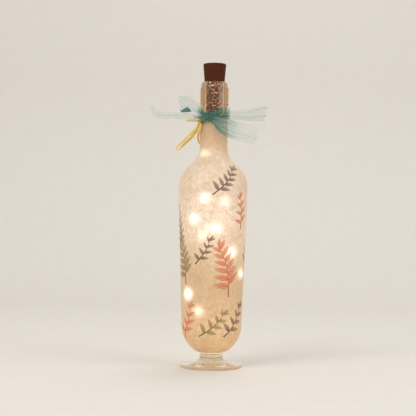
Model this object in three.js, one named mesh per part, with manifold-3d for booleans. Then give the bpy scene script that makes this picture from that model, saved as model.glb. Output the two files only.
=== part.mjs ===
// Bottle lamp: a footed glass bottle in a paper skin, lit by a string of lights inside it.
// A battery stopper closes its mouth, and a ribbon bow and a raffia tie sit round its neck.
// Millimetres, +Z up, front towards -Y, origin in the middle of the foot's underside.
import * as THREE from "three";
import Module from "manifold-3d";
import { mergeVertices } from "three/addons/utils/BufferGeometryUtils.js";

// Clearances
const seatGap = 0.3; // between pieces that bear on each other at a curved face
const slideGap = 0.3; // between pieces that slide in one another

// Foot
const footRadius = 32.6;
const footHeight = 13.4;
const footEdge = 1.3; // rounding of the foot's rim
const footRim = 3.8; // height of the rim
const stemRadius = 12;
const stemHeight = 3.4; // straight stretch under the cup
const padRadius = 5; // flat that joins foot and bottle

// Bottle
const bodyLowRadius = 30.6; // at the top of the round bottom
const bodyTopRadius = 35.6; // at the start of the shoulder
const bodyHeight = 172.6; // foot to shoulder
const shoulderRadius = 33;
const neckFillet = 22;
const neckRadius = 13.9;
const neckLength = 68.8;
const boreRadius = 9.25; // 18.5 mm cork finish
const boreChamfer = 0.6;
const wall = 3.6;
const ringRadius = 14.8; // glass ring round the neck's top
const ringHeight = 17;
const ringFlank = 1.1; // height of the ring's sloping underside
const lipHeight = 7; // ring to mouth
const lipRadius = 13.9;
const lipSlope = 3; // height of the slope between ring and lip
const lipRound = 2;

// Paper skin
const paperGap = 0.25;
const paperThickness = 0.35;
const paperFootMargin = 1; // bare glass between the stem and the paper
const paperTopBelowMouth = 36.6;

// Stopper
const headTopRadius = 12.1;
const headBottomRadius = 10.5;
const headHeight = 19.2;
const headRound = 0.4;
const barrelRadius = 7.4;
const barrelWall = 1.1;
const barrelDepth = 33.5; // below the mouth
const barrelFloor = 1.2;
const foilThickness = 1;
const foilEndMargin = 1.2;
const capRadius = 8.8;
const capThickness = 3.5;
const skirtWall = 1.1;

// Electrics
const cellRadius = 5.8; // button cell, 11.6 by 5.4
const cellHeight = 5.4;
const cellCount = 3;
const springHeight = 7;
const springWire = 0.7;
const springTurns = 4;
const springTopRadius = 2.4;
const springFootRadius = 4.6;
const contactRadius = 4.4;
const contactThickness = 0.4;
const boardThickness = 1;
const switchWidth = 6;
const switchHeight = 3.6;
const resistor = { length: 2, width: 1.1, height: 0.6 };
const buttonRadius = 3;
const buttonProud = 0.8;
const buttonTravel = 1.2;
const buttonStemRadius = 1.8;
const buttonFlange = 1.1; // width and height of the flange that keeps the button in
const stripWidth = 2.4;
const stripThickness = 0.3;
const glandRadius = 2.6;
const glandFlange = 1; // height of the gland's flange under the barrel
const glandBoreGap = 0.3;

// Light string
const wireRadius = 0.5;
const beadRadius = 2;
const beadLength = 4.6;
const beadBoreGap = 0.35;
const leadTurns = 3;
const leadRadius = 6.5;
const leadStraight = 0.08; // share of the lead that hangs straight
const leadSpread = 0.3; // share of the lead by which it has reached its coil radius
const leadFlare = 0.7; // share of the lead from which it opens out to the first light
// Each light by its turn round the bottle in degrees (-90 is the front) and by its share of the
// way from the top of the inner shoulder down to the middle of the round bottom.
const lights = [
  [230, 0.054],
  [431, 0.143],
  [500, 0.203],
  [616, 0.29],
  [649.5, 0.311],
  [800, 0.347],
  [896, 0.384],
  [956, 0.408],
  [1121, 0.412],
  [1190, 0.432],
  [1343, 0.457],
  [1357, 0.461],
  [1520, 0.48],
  [1691, 0.496],
  [1745.5, 0.586],
  [1774, 0.704],
  [1900, 0.768],
  [2020, 0.818],
  [2044.5, 0.91],
  [2204, 0.939],
];

// Ribbon and raffia
const bowBelowMouth = 36.1;
const knotTurn = -116; // where the knot sits on the neck, in degrees
const knotDrop = 1.2; // below the middle of the ribbon band
const knot = { along: 3.6, out: 2.8, up: 5 }; // half sizes
const bandThickness = 0.4;
const bandWidth = 12;
const bandTilt = 4; // rise of the band towards +X
const ribbonThickness = 0.6;
const ribbonEnd = 2; // half width where a strip leaves the knot
const pleats = 3;
const pleatDepth = 0.5;
const raffiaThickness = 0.4;
const raffiaBandWidth = 3;
const raffiaBandDrop = 1.5; // below the middle of the ribbon band
const raffiaWidth = 2.3;
const raffiaDepth = 1.2;
const raffiaTurn = -148; // where the raffia is knotted, in degrees
const raffiaKnotRadius = 1.8;
const raffiaKnotDrop = 5.5; // below the bow's height

// Strips of the bow, from the knot outwards and, for a loop, back again. Each point is a turn
// round the neck in degrees, a distance outside the ribbon band, a height above the bow,
// half the strip's width there, and the lean of that width away from upright in degrees.
const loopRight = [
  [-74, 6.2, -1, 2.2, 0],
  [-51, 12.3, -1.4, 2.6, 0],
  [-28, 24.6, -0.6, 5, 4],
  [-17, 36.2, 2.2, 7.2, 6],
  [-11.5, 39, 2.6, 7.4, 6],
  [-7.5, 32.3, 2.2, 6.6, 6],
  [-11.5, 18.6, 0.4, 4.6, 4],
  [-30, 7, -0.6, 2.8, 0],
  [-69, 3.2, -0.8, 2.2, 0],
];
const loopLeft = [
  [-133, 11.5, 8.2, 5.5, 0],
  [-143, 18.9, 10.4, 8.2, -4],
  [-154, 23.6, 10.8, 8.5, -8],
  [-161, 21.5, 10.6, 8.5, -8],
  [-162.5, 15.4, 10, 8.2, -4],
  [-153, 7.4, 7.6, 5.6, 0],
];
const tailRight = [
  [-82, 6.1, -7.5, 5, 0],
  [-69, 8.6, -11.5, 7.5, 4],
  [-55, 11.9, -14.5, 9, 10],
  [-40, 18, -17.5, 9, 14],
  [-28, 24.8, -19.5, 9, 16],
  [-20, 31.8, -22, 8.5, 16],
];
const tailLeft = [
  [-142, 6.8, -2, 2.4, 8],
  [-149.5, 17, -1.6, 4, 36],
  [-156, 29.2, -1.3, 4.8, 48],
  [-163, 41, -0.8, 5, 48],
  [-167.5, 47, 3, 3.6, 40],
  [-169.5, 51.2, 9.4, 1.4, 30],
];
// Raffia strands, as a turn in degrees, a distance outside the ribbon band and a height above
// the bow. The loop comes back to its knot.
const raffiaLoop = [
  [-151, 3.2, -10.6],
  [-154.9, 6.7, -15.8],
  [-160.4, 12.1, -21.2],
  [-164.7, 18.1, -28],
  [-168.2, 23.1, -32.5],
  [-168.8, 23.7, -33.9],
  [-169, 23, -35.3],
  [-169.1, 21.6, -35.9],
  [-169.1, 20.2, -35.3],
  [-168.8, 15.9, -32.2],
  [-166.3, 9.4, -25.8],
  [-161.7, 4.5, -18.6],
  [-160, 2.9, -12.4],
];
const raffiaEndLeft = [
  [-155.5, 5.2, -5.4],
  [-163, 9.5, -5.3],
  [-169, 12, -5],
  [-176, 12.3, -4.6],
  [-186, 11, -4],
  [-197, 9, -3.5],
  [-210, 7, -3.1],
];
const raffiaEndDown = [
  [-139.5, 2.2, -10.4],
  [-147, 1.8, -14.6],
  [-158, 1.3, -18.4],
  [-171, 0.9, -21.6],
  [-186, 0.7, -24.6],
  [-204, 0.6, -27.2],
  [-222, 0.6, -29.4],
];

// Facets
const roundFacets = 32;
const smallFacets = 20;
const beadFacets = 8;
const wireSides = 6;
const loopSteps = 24; // wire steps in a full turn
const springFacets = { sides: 5, turn: 8 };
const lumpFacets = { round: 12, high: 8 };
const stripSteps = { loopRight: 26, loopLeft: 20, tail: 14 };
const raffiaFacets = { sides: 6, loop: 64, end: 16 };

// Heights that follow from the sizes above
const bulbCentre = footHeight + Math.sqrt(bodyLowRadius ** 2 - padRadius ** 2);
const shoulderStart = footHeight + bodyHeight;
const outerShoulder = shoulder(bodyTopRadius, neckRadius, shoulderRadius, neckFillet);
const innerShoulder = shoulder(
  bodyTopRadius - wall,
  boreRadius,
  shoulderRadius - wall,
  neckFillet + neckRadius - boreRadius,
);
const mouth = shoulderStart + outerShoulder.rise + neckLength;
const ringTop = mouth - lipHeight;
const ringBottom = ringTop - ringHeight;
const paperTop = mouth - paperTopBelowMouth;
const paperOuter = paperGap + paperThickness;
const headTop = mouth + headHeight;
const capSeat = headTop - capThickness;
const barrelBottom = mouth - barrelDepth;
const barrelTop = capSeat - seatGap;
const barrelInner = barrelRadius - barrelWall;
const cellStart = barrelBottom + barrelFloor + springHeight;
const cellTop = cellStart + cellCount * cellHeight;
const boardBottom = cellTop + contactThickness;
const boardTop = boardBottom + boardThickness;
const skirtRadius = barrelInner - slideGap;
const switchTop = boardTop + switchHeight;
const stringTop = shoulderStart + innerShoulder.rise;
const leadTop = barrelBottom - glandFlange - seatGap;
const bow = mouth - bowBelowMouth;
const raffiaInner = neckRadius + paperOuter + seatGap;
const bandInner = raffiaInner + raffiaThickness + seatGap;
const bandOuter = bandInner + bandThickness;

// Materials
function finish(color, roughness, metalness = 0, more = {}) {
  return new THREE.MeshStandardMaterial({ color, roughness, metalness, ...more });
}
const clearGlass = finish(0xdfe8e4, 0.05, 0, { transparent: true, opacity: 0.35 });
const ricePaper = finish(0xe6cba8, 0.85);
const cork = finish(0x54301c, 0.9);
const copperFoil = finish(0x9a6a45, 0.35, 0.9);
const organza = finish(0x4f8f84, 0.6, 0, { transparent: true, opacity: 0.55 });
const raffia = finish(0xd9b45c, 0.8);
const blackPlastic = finish(0x2b2724, 0.6);
const brownPlastic = finish(0x6a4026, 0.6);
const steel = finish(0xb9bcbf, 0.3, 1);
const nickel = finish(0xc9c4b8, 0.35, 1);
const board = finish(0x2f6b45, 0.6);
const ceramicChip = finish(0x3a3836, 0.5);
const enamelledWire = finish(0xb98a5a, 0.35, 1);
const lamp = finish(0xfff1d6, 0.2, 0, { emissive: 0xffe3b0 });
const rubber = finish(0x3b3632, 0.9);

const wasm = await Module();
wasm.setup();
const model = new THREE.Group();

function add(name, geometry, material) {
  const mesh = new THREE.Mesh(geometry, material);
  mesh.name = name;
  model.add(mesh);
}

// Geometry helpers

// Two tangent arcs that lead a wall from the body's radius in to the neck's.
function shoulder(bodyR, neckR, convexR, concaveR) {
  const across = convexR + concaveR - (bodyR - neckR);
  const rise = Math.sqrt((convexR + concaveR) ** 2 - across ** 2);
  const meet = THREE.MathUtils.radToDeg(Math.atan2(rise, across));
  const arcs = (grow) => [
    ...arc(bodyR - convexR, shoulderStart, convexR + grow, 0, meet, 6),
    ...arc(neckR + concaveR, shoulderStart + rise, concaveR - grow, 180 + meet, 180, 5).slice(1),
  ];
  return { rise, arcs };
}

// Points [radius, height] of an arc in the half plane of a turned profile, angles in degrees.
function arc(radiusAt, height, radius, from, to, steps) {
  return Array.from({ length: steps + 1 }, (_, i) => {
    const a = THREE.MathUtils.degToRad(from + ((to - from) * i) / steps);
    return [radiusAt + radius * Math.cos(a), height + radius * Math.sin(a)];
  });
}

// A piece turned about the Z axis from its profile of [radius, height] points.
function turned(profile, facets) {
  const points = profile.map(([r, z]) => new THREE.Vector2(Math.max(r, 0), z));
  return new THREE.LatheGeometry(points, facets).rotateX(Math.PI / 2);
}

// A piece turned from a profile that closes on itself, such as a sleeve.
function turnedRing(profile, facets) {
  return turned([...profile, profile[0]], facets);
}

function sleeve(inner, outer, low, high, facets) {
  return turnedRing([[inner, low], [outer, low], [outer, high], [inner, high]], facets);
}

function disc(radius, low, high, facets) {
  return turned([[0, low], [radius, low], [radius, high], [0, high]], facets);
}

function block(x, y, z, [cx, cy, cz]) {
  return new THREE.BoxGeometry(x, y, z).translate(cx, cy, cz);
}

function solidOf(geometry) {
  const bare = geometry.clone();
  bare.deleteAttribute("normal");
  bare.deleteAttribute("uv");
  const merged = mergeVertices(bare, 1e-3);
  const vertProperties = merged.getAttribute("position").array;
  return new wasm.Manifold(
    new wasm.Mesh({ numProp: 3, vertProperties, triVerts: new Uint32Array(merged.index.array) }),
  );
}

function cut(geometry, tool) {
  const mesh = solidOf(geometry).subtract(solidOf(tool)).getMesh();
  return new THREE.BufferGeometry()
    .setAttribute("position", new THREE.BufferAttribute(mesh.vertProperties, 3))
    .setIndex(new THREE.BufferAttribute(mesh.triVerts, 1));
}

// A closed skin of quads over a grid of points whose rows are closed rings of equal length.
// The grid's ends are capped by the ladder of quads across the ring, or joined if it is endless.
function ringSkin(rings, endless) {
  const n = rings[0].length;
  const count = rings.length;
  const triangles = [];
  const quad = (a, b, c, d) => triangles.push(a, b, c, a, c, d);
  for (let i = 0; i < (endless ? count : count - 1); i++) {
    for (let j = 0; j < n; j++) {
      const here = i * n;
      const next = ((i + 1) % count) * n;
      quad(here + j, here + ((j + 1) % n), next + ((j + 1) % n), next + j);
    }
  }
  if (!endless) {
    const last = (count - 1) * n;
    for (let j = 0; j < n / 2 - 1; j++) {
      quad(n - 1 - j, n - 2 - j, j + 1, j);
      quad(last + j, last + j + 1, last + n - 2 - j, last + n - 1 - j);
    }
  }
  const flat = rings.flat().flatMap((p) => [p.x, p.y, p.z]);
  return new THREE.BufferGeometry()
    .setAttribute("position", new THREE.Float32BufferAttribute(flat, 3))
    .setIndex(triangles);
}

// A round or flat strand along a curve, closed at both ends.
function strand(curve, width, depth, sides, steps) {
  const section = new THREE.Shape(
    Array.from({ length: sides }, (_, i) => {
      const a = (2 * Math.PI * i) / sides;
      return new THREE.Vector2((width / 2) * Math.cos(a), (depth / 2) * Math.sin(a));
    }),
  );
  return new THREE.ExtrudeGeometry(section, { steps, extrudePath: curve, bevelEnabled: false });
}

function polar(turn, radius, z) {
  const a = THREE.MathUtils.degToRad(turn);
  return new THREE.Vector3(radius * Math.cos(a), radius * Math.sin(a), z);
}

// The least gap between a wire's turns, leaving out what lies near along the wire.
function leastGap(curve, steps, radius) {
  const points = curve.getSpacedPoints(steps);
  const along = [0];
  for (let i = 1; i < points.length; i++) along.push(along[i - 1] + points[i].distanceTo(points[i - 1]));
  let least = Infinity;
  for (let i = 0; i < points.length; i++) {
    for (let j = i + 1; j < points.length; j++) {
      if (along[j] - along[i] < 12 * radius) continue;
      least = Math.min(least, points[i].distanceTo(points[j]));
    }
  }
  return least - 2 * radius;
}

// Foot

function footProfile() {
  const cupRadius = bodyLowRadius + seatGap;
  const cupAngle = (r) => -THREE.MathUtils.radToDeg(Math.acos(r / cupRadius));
  const sweep = new THREE.QuadraticBezierCurve(
    new THREE.Vector2(footRadius - footEdge, footRim),
    new THREE.Vector2(stemRadius + footEdge, footRim + footEdge),
    new THREE.Vector2(stemRadius, footHeight - stemHeight),
  );
  return [
    [0, 0],
    ...arc(footRadius - footEdge, footEdge, footEdge, -90, 0, 3),
    ...arc(footRadius - footEdge, footRim - footEdge, footEdge, 0, 90, 3).slice(0, -1),
    ...sweep.getPoints(6).map((p) => [p.x, p.y]),
    ...arc(0, bulbCentre, cupRadius, cupAngle(stemRadius), cupAngle(padRadius), 3),
    [padRadius - seatGap, footHeight],
    [0, footHeight],
  ];
}

// Bottle

// The bottle's outer line from the stem side up to the neck, grown outwards by grow.
function outerLine(grow, startRadius) {
  const low = bodyLowRadius + grow;
  const from = -THREE.MathUtils.radToDeg(Math.acos(startRadius / low));
  return [...arc(0, bulbCentre, low, from, 0, 6), ...outerShoulder.arcs(grow)];
}

// The bottle's inner line from its bottom up to the neck, shrunk inwards by shrink.
function innerLine(shrink) {
  const round = arc(0, bulbCentre, bodyLowRadius - wall - shrink, -90, 0, 6);
  return [...round, ...innerShoulder.arcs(-shrink)];
}

function bottleProfile() {
  return [
    [0, footHeight],
    ...outerLine(0, padRadius),
    [neckRadius, ringBottom - ringFlank],
    [ringRadius, ringBottom],
    [ringRadius, ringTop],
    [lipRadius, ringTop + lipSlope],
    ...arc(lipRadius - lipRound, mouth - lipRound, lipRound, 0, 90, 3),
    [boreRadius + boreChamfer, mouth],
    [boreRadius, mouth - boreChamfer],
    ...innerLine(0).reverse(),
  ];
}

function paperProfile() {
  const start = stemRadius + paperFootMargin;
  const inner = [...outerLine(paperGap, start), [neckRadius + paperGap, paperTop]];
  const outer = [...outerLine(paperOuter, start), [neckRadius + paperOuter, paperTop]];
  return [...outer, ...inner.reverse()];
}

add("pedestal_foot", turned(footProfile(), roundFacets), clearGlass);
add("glass_bottle", turned(bottleProfile(), roundFacets), clearGlass);
add("paper_skin", turnedRing(paperProfile(), roundFacets), ricePaper);

// Stopper

function stopperHead() {
  const bore = barrelRadius + slideGap;
  const seat = capRadius + slideGap;
  const lean = (headTopRadius - headBottomRadius) / headHeight;
  return turnedRing(
    [
      [bore, mouth],
      [headBottomRadius - headRound, mouth],
      [headBottomRadius + lean * headRound, mouth + headRound],
      [headTopRadius - lean * headRound, headTop - headRound],
      [headTopRadius - headRound, headTop],
      [seat, headTop],
      [seat, capSeat],
      [bore, capSeat],
    ],
    roundFacets,
  );
}

// The tube for the cells, with a hole for the gland and a groove along its back for a contact.
function batteryBarrel() {
  const hole = glandRadius + seatGap;
  const tube = turnedRing(
    [
      [hole, barrelBottom],
      [barrelRadius, barrelBottom],
      [barrelRadius, barrelTop],
      [barrelInner, barrelTop],
      [barrelInner, barrelBottom + barrelFloor],
      [hole, barrelBottom + barrelFloor],
    ],
    smallFacets,
  );
  const depth = stripThickness + seatGap;
  const width = stripWidth + 2 * seatGap;
  const length = boardTop - barrelBottom;
  const centre = [0, barrelRadius, barrelBottom + length / 2];
  return cut(tube, block(width, 2 * depth, length, centre));
}

// The cell cap: a disc with a hole for the button, on a long skirt that holds the board down.
function batteryCap() {
  const hole = buttonRadius + slideGap;
  return turnedRing(
    [
      [hole, capSeat],
      [skirtRadius - skirtWall, capSeat],
      [skirtRadius - skirtWall, boardTop],
      [skirtRadius, boardTop],
      [skirtRadius, capSeat],
      [capRadius, capSeat],
      [capRadius, headTop],
      [hole, headTop],
    ],
    smallFacets,
  );
}

function switchButton() {
  const top = headTop + buttonProud;
  const flangeTop = capSeat - slideGap;
  const flangeBottom = flangeTop - buttonFlange;
  const stemBottom = switchTop + buttonTravel + slideGap;
  return turned(
    [
      [0, stemBottom],
      [buttonStemRadius, stemBottom],
      [buttonStemRadius, flangeBottom],
      [buttonRadius + buttonFlange, flangeBottom],
      [buttonRadius + buttonFlange, flangeTop],
      [buttonRadius, flangeTop],
      [buttonRadius, top - headRound],
      [buttonRadius - headRound, top],
      [0, top],
    ],
    smallFacets,
  );
}

// A conical spring, wide on the barrel's floor and narrow under the lowest cell.
class ConicalSpring extends THREE.Curve {
  getPoint(t) {
    const inset = springWire / 2 + seatGap;
    const low = barrelBottom + barrelFloor + inset;
    const z = THREE.MathUtils.lerp(low, cellStart - inset, t);
    return polar(360 * springTurns * t, THREE.MathUtils.lerp(springFootRadius, springTopRadius, t), z);
  }
}

// The rubber plug that the string leaves the barrel through.
function wireGland() {
  const bore = wireRadius + glandBoreGap;
  const top = barrelBottom + barrelFloor;
  return turnedRing(
    [
      [bore, barrelBottom - glandFlange],
      [glandRadius + glandFlange, barrelBottom - glandFlange],
      [glandRadius + glandFlange, barrelBottom],
      [glandRadius, barrelBottom],
      [glandRadius, top],
      [bore, top],
    ],
    smallFacets,
  );
}

add("stopper_head", stopperHead(), cork);
add("battery_barrel", batteryBarrel(), blackPlastic);
add(
  "barrel_foil",
  sleeve(
    barrelRadius + seatGap,
    barrelRadius + seatGap + foilThickness,
    barrelBottom + foilEndMargin,
    mouth - foilEndMargin,
    smallFacets,
  ),
  copperFoil,
);
add("wire_gland", wireGland(), rubber);
const spring = new ConicalSpring();
const springSteps = springTurns * springFacets.turn;
add("contact_spring", strand(spring, springWire, springWire, springFacets.sides, springSteps), nickel);
for (let i = 0; i < cellCount; i++) {
  const low = cellStart + i * cellHeight;
  add(`button_cell_${i + 1}`, disc(cellRadius, low, low + cellHeight, smallFacets), steel);
}
add("contact_plate", disc(contactRadius, cellTop, boardBottom, smallFacets), nickel);
add("circuit_board", disc(skirtRadius, boardBottom, boardTop, smallFacets), board);
add(
  "switch_body",
  block(switchWidth, switchWidth, switchHeight, [0, 0, boardTop + switchHeight / 2]),
  blackPlastic,
);
add(
  "chip_resistor",
  block(resistor.length, resistor.width, resistor.height, [
    0,
    switchWidth / 2 + seatGap + resistor.width / 2,
    boardTop + resistor.height / 2,
  ]),
  ceramicChip,
);
const stripFloor = barrelRadius - seatGap / 2;
add(
  "contact_strip",
  block(stripWidth, stripThickness, boardTop - barrelBottom - 2 * seatGap, [
    0,
    stripFloor - stripThickness / 2,
    (boardTop + barrelBottom) / 2,
  ]),
  nickel,
);
add("battery_cap", batteryCap(), brownPlastic);
add("switch_button", switchButton(), blackPlastic);

// Light string

// The radius at a height of the line on which a light bears on the inner wall.
const lightLine = innerLine(beadRadius + seatGap);
function lightRadius(z) {
  const line = lightLine;
  const i = line.findIndex((p) => p[1] >= z);
  if (i < 1) return line[line.length - 1][0];
  const [[r0, z0], [r1, z1]] = [line[i - 1], line[i]];
  return r0 + ((r1 - r0) * (z - z0)) / (z1 - z0);
}

// A point of the string, whose lights bear on the inner wall.
function stringPoint([turn, share]) {
  const z = THREE.MathUtils.lerp(stringTop, bulbCentre, share);
  return polar(turn, lightRadius(z), z);
}

// The stretch with the lights: a smooth route along the wall from one light to the next.
function stringRoute() {
  const pointEvery = 30;
  const points = [stringPoint(lights[0])];
  const lightIndex = [0];
  for (let i = 1; i < lights.length; i++) {
    const [from, to] = [lights[i - 1], lights[i]];
    const parts = Math.ceil((to[0] - from[0]) / pointEvery);
    for (let k = 1; k <= parts; k++) {
      const t = k / parts;
      points.push(stringPoint([from[0] + (to[0] - from[0]) * t, from[1] + (to[1] - from[1]) * t]));
    }
    lightIndex.push(points.length - 1);
  }
  const curve = new THREE.CatmullRomCurve3(points);
  const last = points.length - 1;
  const places = lightIndex.map((k) => ({
    at: curve.getPoint(k / last),
    along: curve.getTangent(k / last),
  }));
  return { curve, last, lightIndex, places };
}

// The wire's corners: two steps between way points, and a straight step through each light.
function wireCorners({ curve, last, lightIndex, places }) {
  const corners = [];
  const half = beadLength / 2 + seatGap;
  for (let k = 0; k <= last; k++) {
    const light = places[lightIndex.indexOf(k)];
    if (light) {
      corners.push(light.at.clone().addScaledVector(light.along, -half));
      corners.push(light.at.clone().addScaledVector(light.along, half));
    } else {
      corners.push(curve.getPoint(k / last));
    }
    if (k < last) corners.push(curve.getPoint((k + 0.5) / last));
  }
  return corners;
}

// A path whose steps are the given corners.
class CornerPath extends THREE.Curve {
  constructor(corners) {
    super();
    this.corners = corners;
    this.steps = corners.length - 1;
  }
  getPoint(t) {
    const i = Math.min(Math.floor(t * this.steps + 1e-9), this.steps - 1);
    return this.corners[i].clone().lerp(this.corners[i + 1], t * this.steps - i);
  }
  getUtoTmapping(u) {
    return u;
  }
}

// The lead from the stopper: straight at first, then coiled in the neck down to the first light.
class Lead extends THREE.Curve {
  constructor(end) {
    super();
    this.end = end;
    this.endTurn = THREE.MathUtils.radToDeg(Math.atan2(end.y, end.x));
    this.endRadius = Math.hypot(end.x, end.y);
  }
  getPoint(t) {
    const coil = THREE.MathUtils.smoothstep(t, leadStraight, leadSpread);
    const flare = THREE.MathUtils.smoothstep(t, leadFlare, 1);
    const radius = THREE.MathUtils.lerp(leadRadius * coil, this.endRadius, flare);
    const turn = this.endTurn - 360 * leadTurns * (1 - t);
    return polar(turn, radius, THREE.MathUtils.lerp(leadTop, this.end.z, t));
  }
}

const route = stringRoute();
const string = new CornerPath(wireCorners(route));
add(
  "string_wire",
  strand(string, 2 * wireRadius, 2 * wireRadius, wireSides, string.steps),
  enamelledWire,
);
const firstAlong = route.places[0].along;
const lead = new Lead(string.getPoint(0).addScaledVector(firstAlong, -seatGap));
lead.arcLengthDivisions = 1000;
const leadSteps = leadTurns * loopSteps;
add("string_lead", strand(lead, 2 * wireRadius, 2 * wireRadius, wireSides, leadSteps), enamelledWire);
console.log(
  "least gap between turns: string",
  leastGap(string, 10 * string.steps, wireRadius).toFixed(2),
  "lead",
  leastGap(lead, 10 * leadSteps, wireRadius).toFixed(2),
);

// A clear drop of resin round the wire, pointed along it.
function bead() {
  const bore = wireRadius + beadBoreGap;
  const mouthAngle = 32; // from the wire to the edge of the bead's mouth, in degrees
  const steps = 3;
  const round = Array.from({ length: steps + 1 }, (_, i) => {
    const a = THREE.MathUtils.degToRad(mouthAngle + ((180 - 2 * mouthAngle) * i) / steps);
    return [beadRadius * Math.sin(a), (-beadLength / 2) * Math.cos(a)];
  });
  const ends = [round[0][1], round[round.length - 1][1]];
  return turnedRing([[bore, ends[0]], ...round, [bore, ends[1]]], beadFacets);
}

route.places.forEach(({ at, along }, i) => {
  const turn = new THREE.Quaternion().setFromUnitVectors(new THREE.Vector3(0, 0, 1), along);
  const name = `light_${String(i + 1).padStart(2, "0")}`;
  add(name, bead().applyQuaternion(turn).translate(at.x, at.y, at.z), lamp);
});

// Ribbon

const knotCentre = polar(knotTurn, bandOuter + seatGap + knot.out, bow - knotDrop);
const knotOut = polar(knotTurn, 1, 0);
const knotAlong = polar(knotTurn + 90, 1, 0);

// A point beside the knot: side is 1 for its right and -1 for its left.
function besideKnot(side, out, up) {
  return knotCentre
    .clone()
    .addScaledVector(knotAlong, side * (knot.along + seatGap))
    .addScaledVector(knotOut, out)
    .add(new THREE.Vector3(0, 0, up));
}

function stripPoint([turn, outside, up]) {
  return polar(turn, bandOuter + outside, bow + up);
}

// A ribbon strip as a thin solid: pleated at the knot, opening out to its full width.
function strip(ends, rows, steps) {
  const lead = { half: ribbonEnd, lean: 0 };
  const spec = rows.map(([, , , half, lean]) => ({ half, lean }));
  const places = rows.map(stripPoint);
  places.unshift(ends[0]);
  spec.unshift(lead);
  if (ends[1]) {
    places.push(ends[1]);
    spec.push(lead);
  }
  const curve = new THREE.CatmullRomCurve3(places);
  const sizes = new THREE.CatmullRomCurve3(spec.map((s) => new THREE.Vector3(s.half, s.lean, 0)));
  const across = 2 * pleats;
  const rings = [];
  for (let i = 0; i <= steps; i++) {
    const t = i / steps;
    const size = sizes.getPoint(t);
    const along = curve.getTangent(t);
    const upright = new THREE.Vector3(0, 0, 1);
    const width = upright.addScaledVector(along, -upright.dot(along)).normalize();
    width.applyAxisAngle(along, THREE.MathUtils.degToRad(size.y));
    const normal = along.clone().cross(width);
    const row = (offset) =>
      Array.from({ length: across + 1 }, (_, j) => {
        const v = (2 * j) / across - 1;
        const ripple = pleatDepth * Math.cos(Math.PI * pleats * v);
        return curve.getPoint(t).addScaledVector(width, size.x * v).addScaledVector(normal, ripple + offset);
      });
    rings.push([...row(-ribbonThickness / 2), ...row(ribbonThickness / 2).reverse()]);
  }
  return ringSkin(rings, false);
}

// A flat band round the neck that rises towards +X.
function neckBand(inner, thickness, width, middle) {
  const steps = roundFacets;
  const rings = Array.from({ length: steps }, (_, i) => {
    const turn = (360 * i) / steps;
    const z = middle + bandTilt * Math.cos(THREE.MathUtils.degToRad(turn));
    const corner = (r, dz) => polar(turn, r, z + dz);
    const [low, high] = [-width / 2, width / 2];
    return [
      corner(inner, low),
      corner(inner, high),
      corner(inner + thickness, high),
      corner(inner + thickness, low),
    ];
  });
  return ringSkin(rings, true);
}

function lump(centre, turn, size) {
  return new THREE.SphereGeometry(1, lumpFacets.round, lumpFacets.high)
    .scale(size.along, size.out, size.up)
    .rotateZ(THREE.MathUtils.degToRad(turn + 90))
    .translate(centre.x, centre.y, centre.z);
}

const loopRows = { front: 1, back: -1.6 }; // how far out a loop's two ends meet the knot
const loopUp = { left: 3.2, right: 1.6 }; // where the strips leave the knot
const tailUp = { left: -1.6, right: -3.2 };
const loopEnds = (side, up) => [besideKnot(side, loopRows.front, up), besideKnot(side, loopRows.back, up)];
add("ribbon_band", neckBand(bandInner, bandThickness, bandWidth, bow), organza);
add("ribbon_knot", lump(knotCentre, knotTurn, knot), organza);
add("ribbon_loop_right", strip(loopEnds(1, loopUp.right), loopRight, stripSteps.loopRight), organza);
add("ribbon_loop_left", strip(loopEnds(-1, loopUp.left), loopLeft, stripSteps.loopLeft), organza);
add("ribbon_tail_right", strip([besideKnot(1, 0, tailUp.right)], tailRight, stripSteps.tail), organza);
add("ribbon_tail_left", strip([besideKnot(-1, 0, tailUp.left)], tailLeft, stripSteps.tail), organza);

// Raffia

const raffiaKnot = polar(
  raffiaTurn,
  bandOuter + seatGap + raffiaKnotRadius,
  bow - raffiaKnotDrop,
);

// A strand that leaves the raffia knot, and comes back to it if it is a loop.
function raffiaStrand(rows, closes, steps) {
  const points = rows.map(stripPoint);
  const offKnot = (towards) => {
    const way = towards.clone().sub(raffiaKnot).normalize();
    return raffiaKnot.clone().addScaledVector(way, raffiaKnotRadius + seatGap + raffiaDepth / 2);
  };
  points.unshift(offKnot(points[0]));
  if (closes) points.push(offKnot(points[points.length - 1]));
  return strand(new THREE.CatmullRomCurve3(points), raffiaWidth, raffiaDepth, raffiaFacets.sides, steps);
}

const raffiaKnotSize = { along: raffiaKnotRadius, out: raffiaKnotRadius, up: raffiaKnotRadius };
add(
  "raffia_band",
  neckBand(raffiaInner, raffiaThickness, raffiaBandWidth, bow - raffiaBandDrop),
  raffia,
);
add("raffia_knot", lump(raffiaKnot, raffiaTurn, raffiaKnotSize), raffia);
add("raffia_loop", raffiaStrand(raffiaLoop, true, raffiaFacets.loop), raffia);
add("raffia_end_left", raffiaStrand(raffiaEndLeft, false, raffiaFacets.end), raffia);
add("raffia_end_down", raffiaStrand(raffiaEndDown, false, raffiaFacets.end), raffia);

export default model;
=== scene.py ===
"""Dresses the frame of a bottle lamp: footed glass, lit paper, cork stopper, ribbon and raffia."""

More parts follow.
